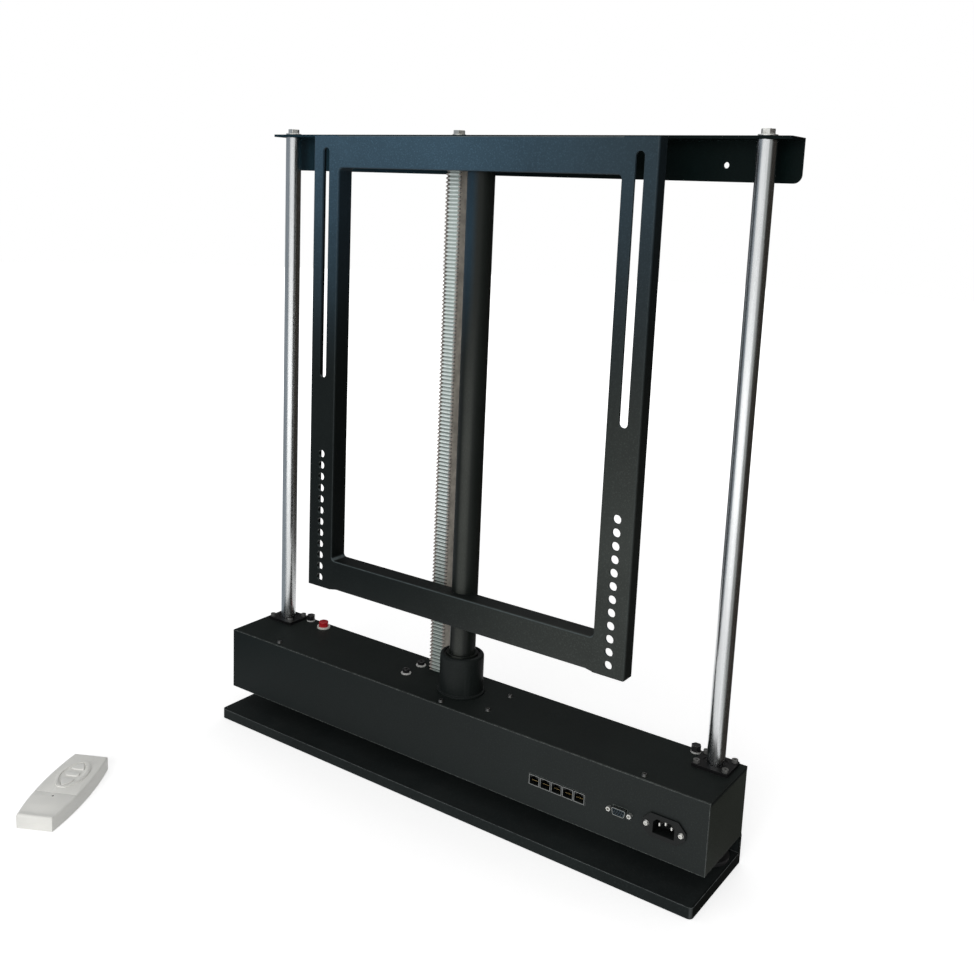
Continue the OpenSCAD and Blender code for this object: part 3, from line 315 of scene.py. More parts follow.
def newMaterial(name, look):
    material, tree = blankMaterial(name)
    shader = tree.nodes["Principled BSDF"].inputs
    shader["Metallic"].default_value = look.get("metallic", 0)
    shader["Specular IOR Level"].default_value = look.get("specular", 0.5)
    material.diffuse_color = (*look["colour"], 1)
    return material, tree, shader, newNode(tree, "ShaderNodeTexCoord").outputs


def roughen(tree, shader, tone, middle, swing, extra=None, share=0):
    # roughness swings round its middle value with the tone, and rises under a second mask
    rough = spread(tree, tone, (0, 1), (middle - swing[0], middle + swing[1]))
    if extra is not None:
        rough = sumOf(tree, "ADD", rough, product(tree, extra, share), True)
    join(tree, rough, shader["Roughness"])


def bumped(tree, shader, height, depth):
    bump = newNode(tree, "ShaderNodeBump")
    bump.inputs["Strength"].default_value = 1
    bump.inputs["Distance"].default_value = depth
    join(tree, height, bump.inputs["Height"])
    join(tree, bump.outputs["Normal"], shader["Normal"])


paint = dict(
    clouds=(0.84, 1.18), speck=2.4, speckShare=0.4, sideLightingLeast=0.2, ior=1.5, upperX=(-0.05, 0.24),
    upperLeast=0.35, washerMetal=0.3, foldShadeShare=0.75, foldShadeTone=0.5, dustColour=(0.30, 0.29, 0.27),
    swing=(0.05, 0.05), dustRough=0.2)
# for what a look doesn't name
usualPaint = dict(
    roughness=0.42, specular=0.12, grain=560, depth=0.00003, edge=0.25, edgeWidth=0.001, dust=0.02)


def mottled(tree, coat, colour):
    # slow clouds of tone with fine pale grain over them
    clouds = varied(tree, coat["Tone"], colour, paint["clouds"])
    speck = product(tree, coat["Speck"], paint["speckShare"])
    return blendColours(tree, speck, clouds, lighter(colour, paint["speck"]))


def laidOver(tree, under, mask, share, over):
    return blendColours(tree, product(tree, mask, share), under, over)


def paintedSteel(name, ownLook):
    look = dict(usualPaint, **ownLook)
    material, tree, shader, places = newMaterial(name, look)
    here = places["Object"]
    facing = places["Normal"]
    coat = placed(tree, powderCoat, Vector=here, Grain=look["grain"])
    dust = placed(tree, settledDust, Vector=here, Normal=facing)["Mask"]
    edge = placed(tree, edgeWearAndHighlight, Vector=here, Width=look["edgeWidth"])["Mask"]
    spot = axesOf(tree, here)
    colour = mottled(tree, coat, look["colour"])
    # painted light and shade: the colour turns lighter or darker towards +X, less so high up where asked,
    # with a lower IOR there to dim reflections
    if "paintedSideLighting" in look:
        side = eased(tree, spot["X"], look["sideLightingFrom"])
        if "sideLightingLow" in look:
            side = product(tree, side, eased(tree, spot["Z"], look["sideLightingLow"], (paint["sideLightingLeast"], 1)))
        colour = blendColours(tree, side, colour, mottled(tree, coat, look["paintedSideLighting"]))
        if "sideLightingIor" in look:
            join(tree, spread(tree, side, (0, 1), (paint["ior"], look["sideLightingIor"])), shader["IOR"])
    # painted reflection: a bluish tone towards the top, fading towards +X
    if "upper" in look:
        rise = eased(tree, spot["Z"], look["upperFrom"])
        rise = product(tree, rise, eased(tree, spot["X"], paint["upperX"], (1, paint["upperLeast"])))
        colour = blendColours(tree, rise, colour, mottled(tree, coat, look["upper"]))
    # painted highlights and reflections: a tone laid where the surface faces a given way, within a band of
    # height
    for paintedHighlight in look.get("paintedHighlights", ()):
        highlightMask = eased(tree, dotOf(tree, facing, paintedHighlight["way"]), paintedHighlight["turn"])
        highlightMask = product(tree, highlightMask, eased(tree, spot["Z"], paintedHighlight["rise"]))
        colour = blendColours(tree, highlightMask, colour, mottled(tree, coat, paintedHighlight["colour"]))
    if "washer" in look:
        below = spread(tree, spot["Z"], look["washerFrom"], (1, 0))
        colour = blendColours(tree, below, colour, look["washer"])
        shine = spread(tree, below, (0, 1), (look["metallic"], paint["washerMetal"]))
        join(tree, shine, shader["Metallic"])
    # painted shade: the inner flanges, towards the back, are darkened
    if "foldShade" in look:
        inner = eased(tree, spot["Y"], look["foldShade"], (0, paint["foldShadeShare"]))
        colour = blendColours(tree, inner, colour, lighter(look["colour"], paint["foldShadeTone"]))
    # pale edges: partly handling wear, partly painted highlight
    colour = laidOver(tree, colour, edge, look["edge"], look["edgeWearAndHighlightColour"])
    # painted highlight on the rounded bends
    if "bend" in look:
        bend = placed(tree, bendHighlight, Vector=here, Normal=facing)["Mask"]
        colour = laidOver(tree, colour, bend, look["bend"], look["edgeWearAndHighlightColour"])
    colour = laidOver(tree, colour, dust, look["dust"], paint["dustColour"])
    join(tree, colour, shader["Base Color"])
    roughen(tree, shader, coat["Tone"], look["roughness"], paint["swing"], dust, paint["dustRough"])
    bumped(tree, shader, coat["Height"], look["depth"])
    return material


metal = dict(streak=(0.88, 1.08), stain=dict(detail=4, rough=0.6, span=(0.48, 0.72)), swing=(0.04, 0.06),
             stainRough=0.25)
usualMetal = dict(metallic=1, scale=900, stain=0.1, stainScale=45, depth=0.000002)


def workedMetal(name, ownLook):
    look = dict(usualMetal, **ownLook)
    material, tree, shader, places = newMaterial(name, look)
    here = places["Object"]
    marks = placed(tree, toolMarks, Vector=stretched(tree, here, look["stretch"]), Scale=look["scale"])
    colour = varied(tree, marks["Streak"], look["colour"], metal["streak"])
    stain = blotches(tree, here, look["stainScale"], most=look["stain"], **metal["stain"])
    join(tree, blendColours(tree, stain, colour, look["stainColour"]), shader["Base Color"])
    roughen(tree, shader, marks["Streak"], look["roughness"], metal["swing"], stain, metal["stainRough"])
    bumped(tree, shader, marks["Height"], look["depth"])
    return material


moulding = dict(clouds=(0.95, 1.04), swing=(0.04, 0.04), depth=0.00001)


def plastic(name, look):
    material, tree, shader, places = newMaterial(name, look)
    skin = placed(tree, mouldedPlastic, Vector=places["Object"], Grain=look["grain"])
    join(tree, varied(tree, skin["Cloud"], look["colour"], moulding["clouds"]), shader["Base Color"])
    roughen(tree, shader, skin["Cloud"], look["roughness"], moulding["swing"])
    bumped(tree, shader, skin["Height"], look.get("depth", moulding["depth"]))
    return material


paintLooks = dict(
    # painted light paler towards +X and low down, a painted bluish reflection towards the top, painted shade
    # in the inner flanges, painted highlight on the bends
    frame_paint=dict(
        colour=(0.0058, 0.0080, 0.0077), paintedSideLighting=(0.0330, 0.0375, 0.0345), sideLightingFrom=(-0.12, 0.23),
        sideLightingLow=(0.64, 0.32), upper=(0.038, 0.074, 0.106), upperFrom=(0.48, 0.82), grain=620,
        foldShade=(-0.0268, -0.0235), depth=0.00004, edgeWidth=0.0012, edgeWearAndHighlightColour=(0.085, 0.105, 0.108),
        bend=0.85),
    # its bluish colour is a painted reflection
    top_rail_paint=dict(
        colour=(0.036, 0.074, 0.104), grain=620, edgeWidth=0.0012, edgeWearAndHighlightColour=(0.10, 0.13, 0.15)),
    # painted shade: darker towards +X
    bracket_paint=dict(
        colour=(0.009, 0.026, 0.036), paintedSideLighting=(0.0016, 0.0042, 0.0040), sideLightingFrom=(-0.25, 0.10),
        specular=0.06, grain=620, edgeWearAndHighlightColour=(0.06, 0.08, 0.09), bend=0.3),
    # painted shade on the +X end, whose reflections are dimmed by a lower IOR
    base_paint=dict(
        colour=(0.0140, 0.0172, 0.0172), paintedSideLighting=(0.0030, 0.0038, 0.0030), sideLightingFrom=(0.345, 0.3478),
        sideLightingIor=1.1, roughness=0.46, specular=0.03, depth=0.00006, edge=0.45, edgeWidth=0.0016,
        edgeWearAndHighlightColour=(0.24, 0.26, 0.26), bend=0.9, dust=0.03),
    case_paint=dict(
        colour=(0.0095, 0.0122, 0.0114), roughness=0.52, specular=0.07, depth=0.00006, edge=0.3,
        edgeWearAndHighlightColour=(0.075, 0.08, 0.075)),
    # painted light: paler towards +X; the strong pale edge colour is a painted highlight along the edges
    front_paint=dict(
        colour=(0.0042, 0.0070, 0.0070), paintedSideLighting=(0.0165, 0.0195, 0.0190), sideLightingFrom=(-0.35, 0.35),
        roughness=0.48, specular=0.11, depth=0.00006, edge=0.8, edgeWidth=0.0014,
        edgeWearAndHighlightColour=(0.20, 0.22, 0.21), bend=0.8),
    # painted reflection: bluish on the left towards the top; painted highlight down the front lower down
    column_paint=dict(
        colour=(0.0078, 0.0096, 0.0084), roughness=0.34, specular=0.16, grain=900, depth=0.00002,
        edgeWearAndHighlightColour=(0.06, 0.06, 0.06), paintedHighlights=(
            dict(colour=(0.015, 0.032, 0.047), way=(-0.82, -0.57, 0), turn=(0.05, 0.75), rise=(0.52, 0.68)),
            dict(colour=(0.034, 0.037, 0.033), way=(0.255, -0.967, 0), turn=(0.88, 1), rise=(0.62, 0.40)))),
    collar_black=dict(
        colour=(0.0080, 0.0102, 0.0098), roughness=0.46, specular=0.14, grain=800, edge=0.35,
        edgeWearAndHighlightColour=(0.07, 0.075, 0.075), dust=0.03),
    foot_black=dict(
        colour=(0.018, 0.018, 0.019), roughness=0.58, specular=0.28, grain=420, depth=0.00007, edge=0.4,
        edgeWearAndHighlightColour=(0.09, 0.09, 0.09), dust=0.08),
    bush_black=dict(
        colour=(0.0055, 0.0055, 0.006), roughness=0.38, specular=0.20, grain=900, depth=0.00002, edge=0.45,
        edgeWidth=0.0008, edgeWearAndHighlightColour=(0.09, 0.09, 0.09), dust=0.03),
    # the pale edge colour is a painted highlight on the heads' edges
    dark_screws=dict(
        colour=(0.10, 0.10, 0.098), metallic=0.85, roughness=0.30, specular=0.5, grain=1400, depth=0.00001,
        edge=0.7, edgeWidth=0.0006, edgeWearAndHighlightColour=(0.45, 0.45, 0.43), dust=0.03),
)
metalLooks = dict(
    rod_chrome=dict(
        colour=(0.64, 0.655, 0.66), roughness=0.25, stretch=(1, 1, 0.03), scale=260,
        stainColour=(0.42, 0.42, 0.42), stainScale=18),
    zinc=dict(
        colour=(0.74, 0.74, 0.71), metallic=0.9, roughness=0.36, stretch=(1, 1, 0.3), stain=0.35,
        stainColour=(0.58, 0.55, 0.46), stainScale=120, depth=0.000006),
    gear_steel=dict(
        colour=(0.50, 0.49, 0.46), roughness=0.36, stretch=(0.2, 1, 1), scale=700, stain=0.5,
        stainColour=(0.16, 0.14, 0.11), stainScale=90, depth=0.00001),
    bearing_steel=dict(
        colour=(0.60, 0.61, 0.62), roughness=0.24, stretch=(1, 1, 0.2), stain=0.2,
        stainColour=(0.35, 0.33, 0.30), stainScale=100, depth=0.000004),
    drive_steel=dict(
        colour=(0.40, 0.41, 0.42), roughness=0.38, stretch=(0.2, 1, 1), scale=500, stain=0.3,
        stainColour=(0.20, 0.19, 0.17), stainScale=60, depth=0.00001),
    supply_case=dict(
        colour=(0.58, 0.59, 0.60), roughness=0.42, stretch=(0.15, 1, 1), scale=600, stain=0.2,
        stainColour=(0.40, 0.40, 0.39), stainScale=50, depth=0.000008),
    socket_nickel=dict(
        colour=(0.34, 0.36, 0.35), roughness=0.27, stretch=(0.4, 1, 1), stain=0.25,
        stainColour=(0.42, 0.40, 0.34), stainScale=160, depth=0.000004),
    bezel_chrome=dict(
        colour=(0.84, 0.83, 0.76), metallic=0.3, roughness=0.26, stretch=(1, 1, 0.3),
        stainColour=(0.5, 0.5, 0.5), stainScale=120),
)
plasticLooks = dict(
    liner_plastic=dict(colour=(0.74, 0.72, 0.62), roughness=0.42, specular=0.45, grain=1500),
    board_green=dict(colour=(0.02, 0.13, 0.05), roughness=0.30, grain=1800),
    board_blue=dict(colour=(0.03, 0.07, 0.22), roughness=0.40, specular=0.45, grain=1200),
    socket_black=dict(colour=(0.006, 0.007, 0.007), roughness=0.42, specular=0.2, grain=1800),
    button_red=dict(colour=(0.36, 0.012, 0.016), roughness=0.22, grain=2600, depth=0.000004),
    handset_shell=dict(colour=(0.83, 0.825, 0.785), roughness=0.40, specular=0.4, grain=2400, depth=0.000008),
    handset_keys=dict(colour=(0.86, 0.855, 0.82), roughness=0.34, specular=0.42, grain=2600, depth=0.000006),
)
rackLook = dict(
    colour=(0.55, 0.62, 0.59), metallic=0.2, roughness=0.40, stretch=(1, 1, 0.05), scale=420,
    land=(0.90, 0.97, 0.95), landTones=(0.86, 1), lowLand=(0.50, 0.56, 0.53), landFrom=(0.20, 0.34),
    gap=(0.38, 0.43, 0.41), lowShadedGap=(0.085, 0.105, 0.100), gapFrom=(0.30, 0.64), dullLand=(0.44, 0.40, 0.37),
    dullShadedGap=(0.11, 0.10, 0.09), middleX=-0.0574, brightTo=(0.0066, 0.0080), tipToRoot=(0.0266, 0.0286),
    side=(0.40, 0.37, 0.32), sideTones=(0.75, 1.35), sideFrom=(0.6, 0.8), sideRough=0.12,
    swing=(0.05, 0.08), depth=0.00001, millScale=dict(scale=60, detail=5, rough=0.65, span=(0.35, 0.7)))


def rackSteel(look):
    # tips ground pale, brighter in the middle; painted shade in the gaps; lands and gaps darker towards the
    # bottom; tan mill scale on the sides
    material, tree, shader, places = newMaterial("rack_steel", look)
    here = places["Object"]
    spot = axesOf(tree, here)
    marks = placed(tree, toolMarks, Vector=stretched(tree, here, look["stretch"]), Scale=look["scale"])
    away = sumOf(tree, "ABSOLUTE", sumOf(tree, "SUBTRACT", spot["X"], look["middleX"]))
    dull = eased(tree, away, look["brightTo"])
    land = varied(tree, marks["Streak"], look["land"], look["landTones"])
    # lands darker towards the bottom
    land = blendColours(tree, eased(tree, spot["Z"], look["landFrom"]), look["lowLand"], land)
    land = blendColours(tree, dull, land, look["dullLand"])
    # painted shade in the gaps between the teeth, darker towards the bottom
    gap = blendColours(tree, spread(tree, spot["Z"], look["gapFrom"]), look["lowShadedGap"], look["gap"])
    gap = blendColours(tree, dull, gap, look["dullShadedGap"])
    colour = blendColours(tree, eased(tree, spot["Y"], look["tipToRoot"]), land, gap)
    across = sumOf(tree, "ABSOLUTE", axesOf(tree, places["Normal"])["X"])
    side = spread(tree, across, look["sideFrom"])
    millScale = varied(tree, blotches(tree, here, **look["millScale"]), look["side"], look["sideTones"])
    join(tree, blendColours(tree, side, colour, millScale), shader["Base Color"])
    roughen(tree, shader, marks["Streak"], look["roughness"], look["swing"], side, look["sideRough"])
    bumped(tree, shader, marks["Height"], look["depth"])
    return material


materials = {}
for makeFinish, looks in ((paintedSteel, paintLooks), (workedMetal, metalLooks), (plastic, plasticLooks)):
    for slotName, slotLook in looks.items():
        materials[slotName] = makeFinish(slotName, slotLook)
materials["rack_steel"] = rackSteel(rackLook)

# the box's ends are drawn warmer and slightly paler than its front, with weaker reflections
endPaint = paintedSteel("end_paint", dict(
    paintLooks["case_paint"], colour=(0.030, 0.0335, 0.0285), specular=0.02))
# black heads over bright washers, and plated heads on the bushes' flanges
washeredBolts = paintedSteel("washered_bolts", dict(
    paintLooks["dark_screws"], colour=(0.020, 0.020, 0.021), metallic=0.4, washer=(0.66, 0.66, 0.64),
    washerFrom=(0.1214, 0.1218)))
platedScrews = paintedSteel("plated_screws", dict(
    paintLooks["dark_screws"], colour=(0.17, 0.17, 0.165), metallic=0.6))

slotOf = {part["node"]: part["material_slot"] for part in frame["record"]["subparts"]}
bodyOf = {name: body for body, names in frame["record"]["behaviour"]["bodies"].items() for name in names}
for name, node in nodes.items():
    node.data.materials.clear()
    node.data.materials.append(materials[slotOf[name]])
print("finishes made:", len(materials))


def newPiece(name, bm):
    mesh = bpy.data.meshes.new(name)
    bm.to_mesh(mesh)
    bm.free()
    piece = bpy.data.objects.new(name, mesh)
    scene.collection.objects.link(piece)
    return piece


def finishPiece(name, bm, body, slot, sharp=32, material=None):
    piece = newPiece(name, bm)
    piece.data.shade_smooth()
    piece.data.set_sharp_from_angle(angle=math.radians(sharp))
    piece.data.materials.append(material or materials[slot])
    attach(piece, body)
    return piece


# metres, and degrees for what counts as flat
cleaning = dict(merge=0.000004, flat=0.3, cut=0.000001)


def mergedCopy(nodeName):
    bm = bmesh.new()
    bm.from_mesh(nodes[nodeName].data)
    bmesh.ops.remove_doubles(bm, verts=bm.verts[:], dist=cleaning["merge"])
    bmesh.ops.dissolve_limit(bm, angle_limit=math.radians(cleaning["flat"]), use_dissolve_boundaries=False,
                             verts=bm.verts[:], edges=bm.edges[:], delimit={"NORMAL"})
    return bm


def bevelEdges(bm, edges, width, segments):
    bmesh.ops.bevel(bm, geom=edges, offset=width, offset_type="OFFSET", affect="EDGES", segments=segments,
                    profile=0.5, material=-1, clamp_overlap=True)


def tip(bm, verts, angle=90):
    bmesh.ops.rotate(bm, cent=(0, 0, 0), matrix=Matrix.Rotation(math.radians(angle), 3, "X"), verts=verts)


def shift(bm, verts, x, y, z):
    bmesh.ops.translate(bm, vec=mm(x, y, z), verts=verts)


def pin(bm, radius, length, segments):
    made = bmesh.ops.create_cone(bm, cap_ends=True, segments=segments, radius1=mm(radius), radius2=mm(radius),
                                 depth=mm(length))
    return made["verts"]


def block(bm, low, high):
    # a box between two corners
    verts = bmesh.ops.create_cube(bm, size=1)["verts"]
    bmesh.ops.scale(bm, vec=mm(*(Vector(high) - Vector(low))), verts=verts)
    shift(bm, verts, *((Vector(high) + Vector(low)) / 2))


def vertsOf(made):
    return [g for g in made["geom"] if isinstance(g, bmesh.types.BMVert)]


def pushFaces(bm, x, y, z):
    # gives the faces a thickness one way
    shift(bm, vertsOf(bmesh.ops.extrude_face_region(bm, geom=bm.faces[:])), x, y, z)
    bmesh.ops.recalc_face_normals(bm, faces=bm.faces[:])


def softEdges(piece, width, segments, sharp):
    rounding = piece.modifiers.new("softEdges", "BEVEL")
    rounding.width = width
    rounding.segments = segments
    rounding.limit_method = "ANGLE"
    rounding.angle_limit = math.radians(sharp)
    rounding.harden_normals = True


def softened(nodeName, bm, width, segments, sharp=32, material=None):
    piece = finishPiece(nodeName + "Soft", bm, bodyOf[nodeName], slotOf[nodeName], sharp, material)
    softEdges(piece, width, segments, sharp)
    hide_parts(nodeName)


edgeWidths = dict(
    base_plate=2.2, top_bracket=0.7, rod_bolts=0.6, rack_bolt=0.5, guide_rods=0.8, rod_feet=0.8,
    gear_rack=0.12, top_plate=0.5, front_panel=0.7, end_plates=0.5, rear_panel=0.5, bottom_panel=0.5,
    linear_bushes=0.6, flange_screws=0.35, stop_bolts=0.5, cover_screws=0.18, bracket_screws=0.35,
    column=0.5, load_ring=0.4, mains_inlet=0.4, inlet_pins=0.5, inlet_screws=0.15, socket_posts=0.3,
    jack_block=0.2, button_body=0.7)
wideEdge = 0.65
ownPaint = dict(end_plates=endPaint, bracket_screws=washeredBolts, stop_bolts=washeredBolts,
                flange_screws=platedScrews)
for nodeName, width in edgeWidths.items():
    softened(nodeName, mergedCopy(nodeName), mm(width), 3 if width > wideEdge else 2,
             material=ownPaint.get(nodeName))
print("edges softened:", len(edgeWidths))

# posts and rails are welded and ground into one folded sheet, so they are drawn as one
sheet = dict(
    halfW=232.5, post=40, foot=210, railFoot=211.5, stepW=8, bottomRail=38, topRail=38, top=786, front=-28,
    flange=25, lip=19, thick=3, bend=3, bendSteps=4, corner=5, cornerSteps=5, slotX=212.5, slotW=10.5,
    slotLow=487, slotHigh=772, holeW=10, holes=12, holePitch=15, holeStart=13, columnW=32.1,
    columnCut=(150, 850), cutLong=14, wallFrom=2, seam=1, edge=0.35, edgeSharp=40)
# how the sheet's edges are told apart, in millimetres and, for a fold's least angle, radians
sorting = dict(slack=1, fine=0.1, deep=20, folded=1.4, merge=0.02)


def baked(piece):
    # the mesh with its modifiers worked in; the piece itself is dropped
    shape = bpy.data.meshes.new_from_object(piece.evaluated_get(bpy.context.evaluated_depsgraph_get()))
    bm = bmesh.new()
    bm.from_mesh(shape)
    bpy.data.objects.remove(piece)
    bpy.data.meshes.remove(shape)
    return bm


def frameSkin(look):
    # outer skin of the sheet: the front first, then its flanges, its corners and its bends
    inner = look["halfW"] - look["post"]
    across = (-look["halfW"], -inner, look["stepW"] - inner, inner - look["stepW"], inner, look["halfW"])
    rows = (look["foot"], look["railFoot"] + look["bottomRail"], look["top"] - look["topRail"], look["top"])
    bm = bmesh.new()
    bmesh.ops.create_grid(bm, x_segments=len(across) - 1, y_segments=len(rows) - 1, size=1)
    for v in bm.verts:
        column = round((v.co.x + 1) / 2 * (len(across) - 1))
        row = round((v.co.y + 1) / 2 * (len(rows) - 1))
        lifted = row == 0 and column in (2, 3)
        v.co = mm(across[column], look["front"], look["railFoot"] if lifted else rows[row])
    hollow = [f for f in bm.faces if abs(f.calc_center_median().x) < mm(inner)
              and mm(rows[1]) < f.calc_center_median().z < mm(rows[2])]
    bmesh.ops.delete(bm, geom=hollow, context="FACES")
    rims = [e for e in bm.edges if e.is_boundary]
    slack = sorting["slack"]
    lips = [e for e in rims if all(abs(v.co.x) > mm(look["halfW"] - slack) for v in e.verts)]
    deep = [e for e in rims if all(abs(v.co.x) < mm(inner + slack) for v in e.verts)]
    for edges, depth in ((lips, look["lip"]), (deep, look["flange"])):
        shift(bm, vertsOf(bmesh.ops.extrude_edge_only(bm, edges=edges)), 0, depth, 0)
    corners = []
    for edge in bm.edges:
        first, second = (v.co for v in edge.verts)
        runsBack = abs(first.y - second.y) > mm(sorting["deep"])
        onPost = abs(abs(first.x) - mm(inner)) < mm(sorting["fine"])
        if runsBack and onPost and mm(rows[1] - slack) < first.z < mm(rows[2] + slack):
            corners.append(edge)
    bevelEdges(bm, corners, mm(look["corner"]), look["cornerSteps"])
    bends = [e for e in bm.edges if e.calc_face_angle(0) > sorting["folded"]
             and all(v.co.y < mm(look["front"] + sorting["fine"]) for v in e.verts)]
    bevelEdges(bm, bends, mm(look["bend"]), look["bendSteps"])
    bmesh.ops.recalc_face_normals(bm, faces=bm.faces[:])
    widest = max(bm.faces, key=lambda f: f.calc_area())
    if widest.normal.y > 0:
        bmesh.ops.reverse_faces(bm, faces=bm.faces[:])
    return bm


def frameCutters(look):
    # the posts' holes and slots, and the notch for the column
    bm = bmesh.new()
    spots = [(look["foot"] + look["holeStart"] + i * look["holePitch"], 0, look["holeW"])
             for i in range(look["holes"])]
    spots.append((look["slotLow"] + look["slotW"] / 2, look["slotHigh"] - look["slotLow"] - look["slotW"],
                  look["slotW"]))
    for side in (-1, 1):
        for z, tall, width in spots:
            verts = pin(bm, width / 2, look["cutLong"], 40)
            tip(bm, verts)
            for v in verts:
                if v.co.z > 0:
                    v.co.z += mm(tall)
            shift(bm, verts, side * look["slotX"], look["front"] + look["thick"] / 2, z)
    low, high = look["columnCut"]
    shift(bm, pin(bm, look["columnW"] / 2, high - low, 64), 0, 0, (low + high) / 2)
    return bm


def foldedFrame(look):
    skin = newPiece("frameSkin", frameSkin(look))
    wall = skin.modifiers.new("wall", "SOLIDIFY")
    wall.thickness = mm(look["thick"])
    wall.offset = -1
    wall.use_even_offset = True
    thick = baked(skin)
    bmesh.ops.remove_doubles(thick, verts=thick.verts[:], dist=mm(sorting["merge"]))
    whole = newPiece("frameWhole", thick)
    cutters = newPiece("frameCutters", frameCutters(look))
    cuts = whole.modifiers.new("cuts", "BOOLEAN")
    cuts.operation = "DIFFERENCE"
    cuts.solver = "EXACT"
    cuts.object = cutters
    bm = baked(whole)
    bpy.data.objects.remove(cutters)
    inner = look["halfW"] - look["post"]
    # the posts' inner walls go on behind the rails, which leaves a joint line
    rails = ((look["foot"], look["railFoot"] + look["bottomRail"] + look["seam"]),
             (look["top"] - look["topRail"] - look["seam"], look["top"]))
    for leftX in (-inner - look["thick"], inner):
        for low, high in rails:
            block(bm, (leftX, look["front"] + look["wallFrom"], low),
                  (leftX + look["thick"], look["front"] + look["flange"], high))
    piece = finishPiece("foldedFrame", bm, "turning_frame", "frame_paint")
    softEdges(piece, mm(look["edge"]), 2, look["edgeSharp"])
    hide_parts("left_post", "right_post", "top_rail", "bottom_rail")


foldedFrame(sheet)
print("frame folded")

# heights that differ by less than this count as one level
levelSlack = 0.02


def roundedTop(nodeName, look):
    # the upper outer edge is rounded, the other edges only broken
    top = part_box(nodeName)[1].z
    bm = mergedCopy(nodeName)
    rim = [e for e in bm.edges if all(abs(v.co.z - top) < mm(levelSlack) for v in e.verts)]
    outer = [e for e in rim if all(v.co.xy.length > mm(look["bore"]) for v in e.verts)]
    bevelEdges(bm, outer, mm(look["rim"]), look["rimSteps"])
    softened(nodeName, bm, mm(look["edge"]), look["edgeSteps"], look["sharp"])


collar = dict(bore=25, rim=3.6, rimSteps=5, edge=0.8, edgeSteps=2, sharp=32)
roundedTop("bearing_housing", collar)

seal = dict(inner=19.6, outer=21.85, low=167.1, high=168.4, edge=0.3, steps=64)


def collarSeal(look):
    # a flat ring spun from a square
    bm = bmesh.new()
    bmesh.ops.create_grid(bm, x_segments=1, y_segments=1, size=0.5)
    tip(bm, bm.verts)
    size = (mm(look["outer"] - look["inner"]), 1, mm(look["high"] - look["low"]))
    bmesh.ops.scale(bm, vec=size, verts=bm.verts)
    shift(bm, bm.verts, (look["outer"] + look["inner"]) / 2, 0, (look["high"] + look["low"]) / 2)
    start = bm.faces[:]
    bmesh.ops.spin(bm, geom=bm.verts[:] + bm.edges[:], cent=(0, 0, 0), axis=(0, 0, 1), dvec=(0, 0, 0),
                   angle=math.radians(360), steps=look["steps"], use_merge=True)
    bmesh.ops.delete(bm, geom=start, context="FACES_ONLY")
    bmesh.ops.remove_doubles(bm, verts=bm.verts[:], dist=cleaning["cut"])
    bmesh.ops.recalc_face_normals(bm, faces=bm.faces[:])
    sharpOnes = [e for e in bm.edges if len(e.link_faces) == 2 and e.calc_face_angle() > 1]
    bevelEdges(bm, sharpOnes, mm(look["edge"]), 2)
    finishPiece("collarSeal", bm, "motor_box", "bush_black")


collarSeal(seal)
print("collar done")

button = dict(bore=0, rim=1.3, rimSteps=4, edge=0.2, edgeSteps=1, sharp=32)
roundedTop("red_button", button)

handset = dict(
    place=(-336, -330), turn=118, height=18, topRound=2.6, bottomRound=1.4, rimX=60, rimY=20, rimAngle=0.5,
    seamX=-20, seamDepth=0.45, seamHalf=0.4, seamSlack=0.05, seamBand=1.5, scoopFrom=-44, scoopTo=-68,
    scoopDepth=1.5, scoopCuts=14, scoopStep=1.9, scoopBand=3, lipLong=6, lipRise=0.45, crownHalf=30,
    rows=range(-18, 19, 6), coverEdge=0.28, baseEdge=0.3, sharp=38, ledX=-27, ledR=1.4, ledFlat=0.55,
    ledSunk=0.7)
handsetTurn = Matrix.Rotation(math.radians(handset["turn"]), 4, "Z")
handsetPlace = Matrix.Translation(mm(*handset["place"], 0)) @ handsetTurn


def toHandset(bm):
    bmesh.ops.transform(bm, matrix=handsetPlace.inverted(), verts=bm.verts)


def fromHandset(bm):
    bmesh.ops.transform(bm, matrix=handsetPlace, verts=bm.verts)


def cut(bm, place, way):
    # splits the faces on a plane, the shape stays
    bmesh.ops.bisect_plane(bm, geom=bm.verts[:] + bm.edges[:] + bm.faces[:], dist=cleaning["cut"],
                           plane_co=place, plane_no=way)


def smoothStep(a, b, x):
    t = min(1, max(0, (x - a) / (b - a)))
    return t * t * (3 - 2 * t)


def outerRim(bm, level, look):
    # edges of the outline at one level, away from the holes and the ridge
    rim = []
    for edge in bm.edges:
        x, y = ((edge.verts[0].co + edge.verts[1].co) / 2).xy
        flush = all(abs(v.co.z - mm(level)) <= mm(levelSlack) for v in edge.verts)
        outside = abs(x) > mm(look["rimX"]) or abs(y) > mm(look["rimY"])
        if flush and outside and edge.calc_face_angle(0) > look["rimAngle"]:
            rim.append(edge)
    return rim


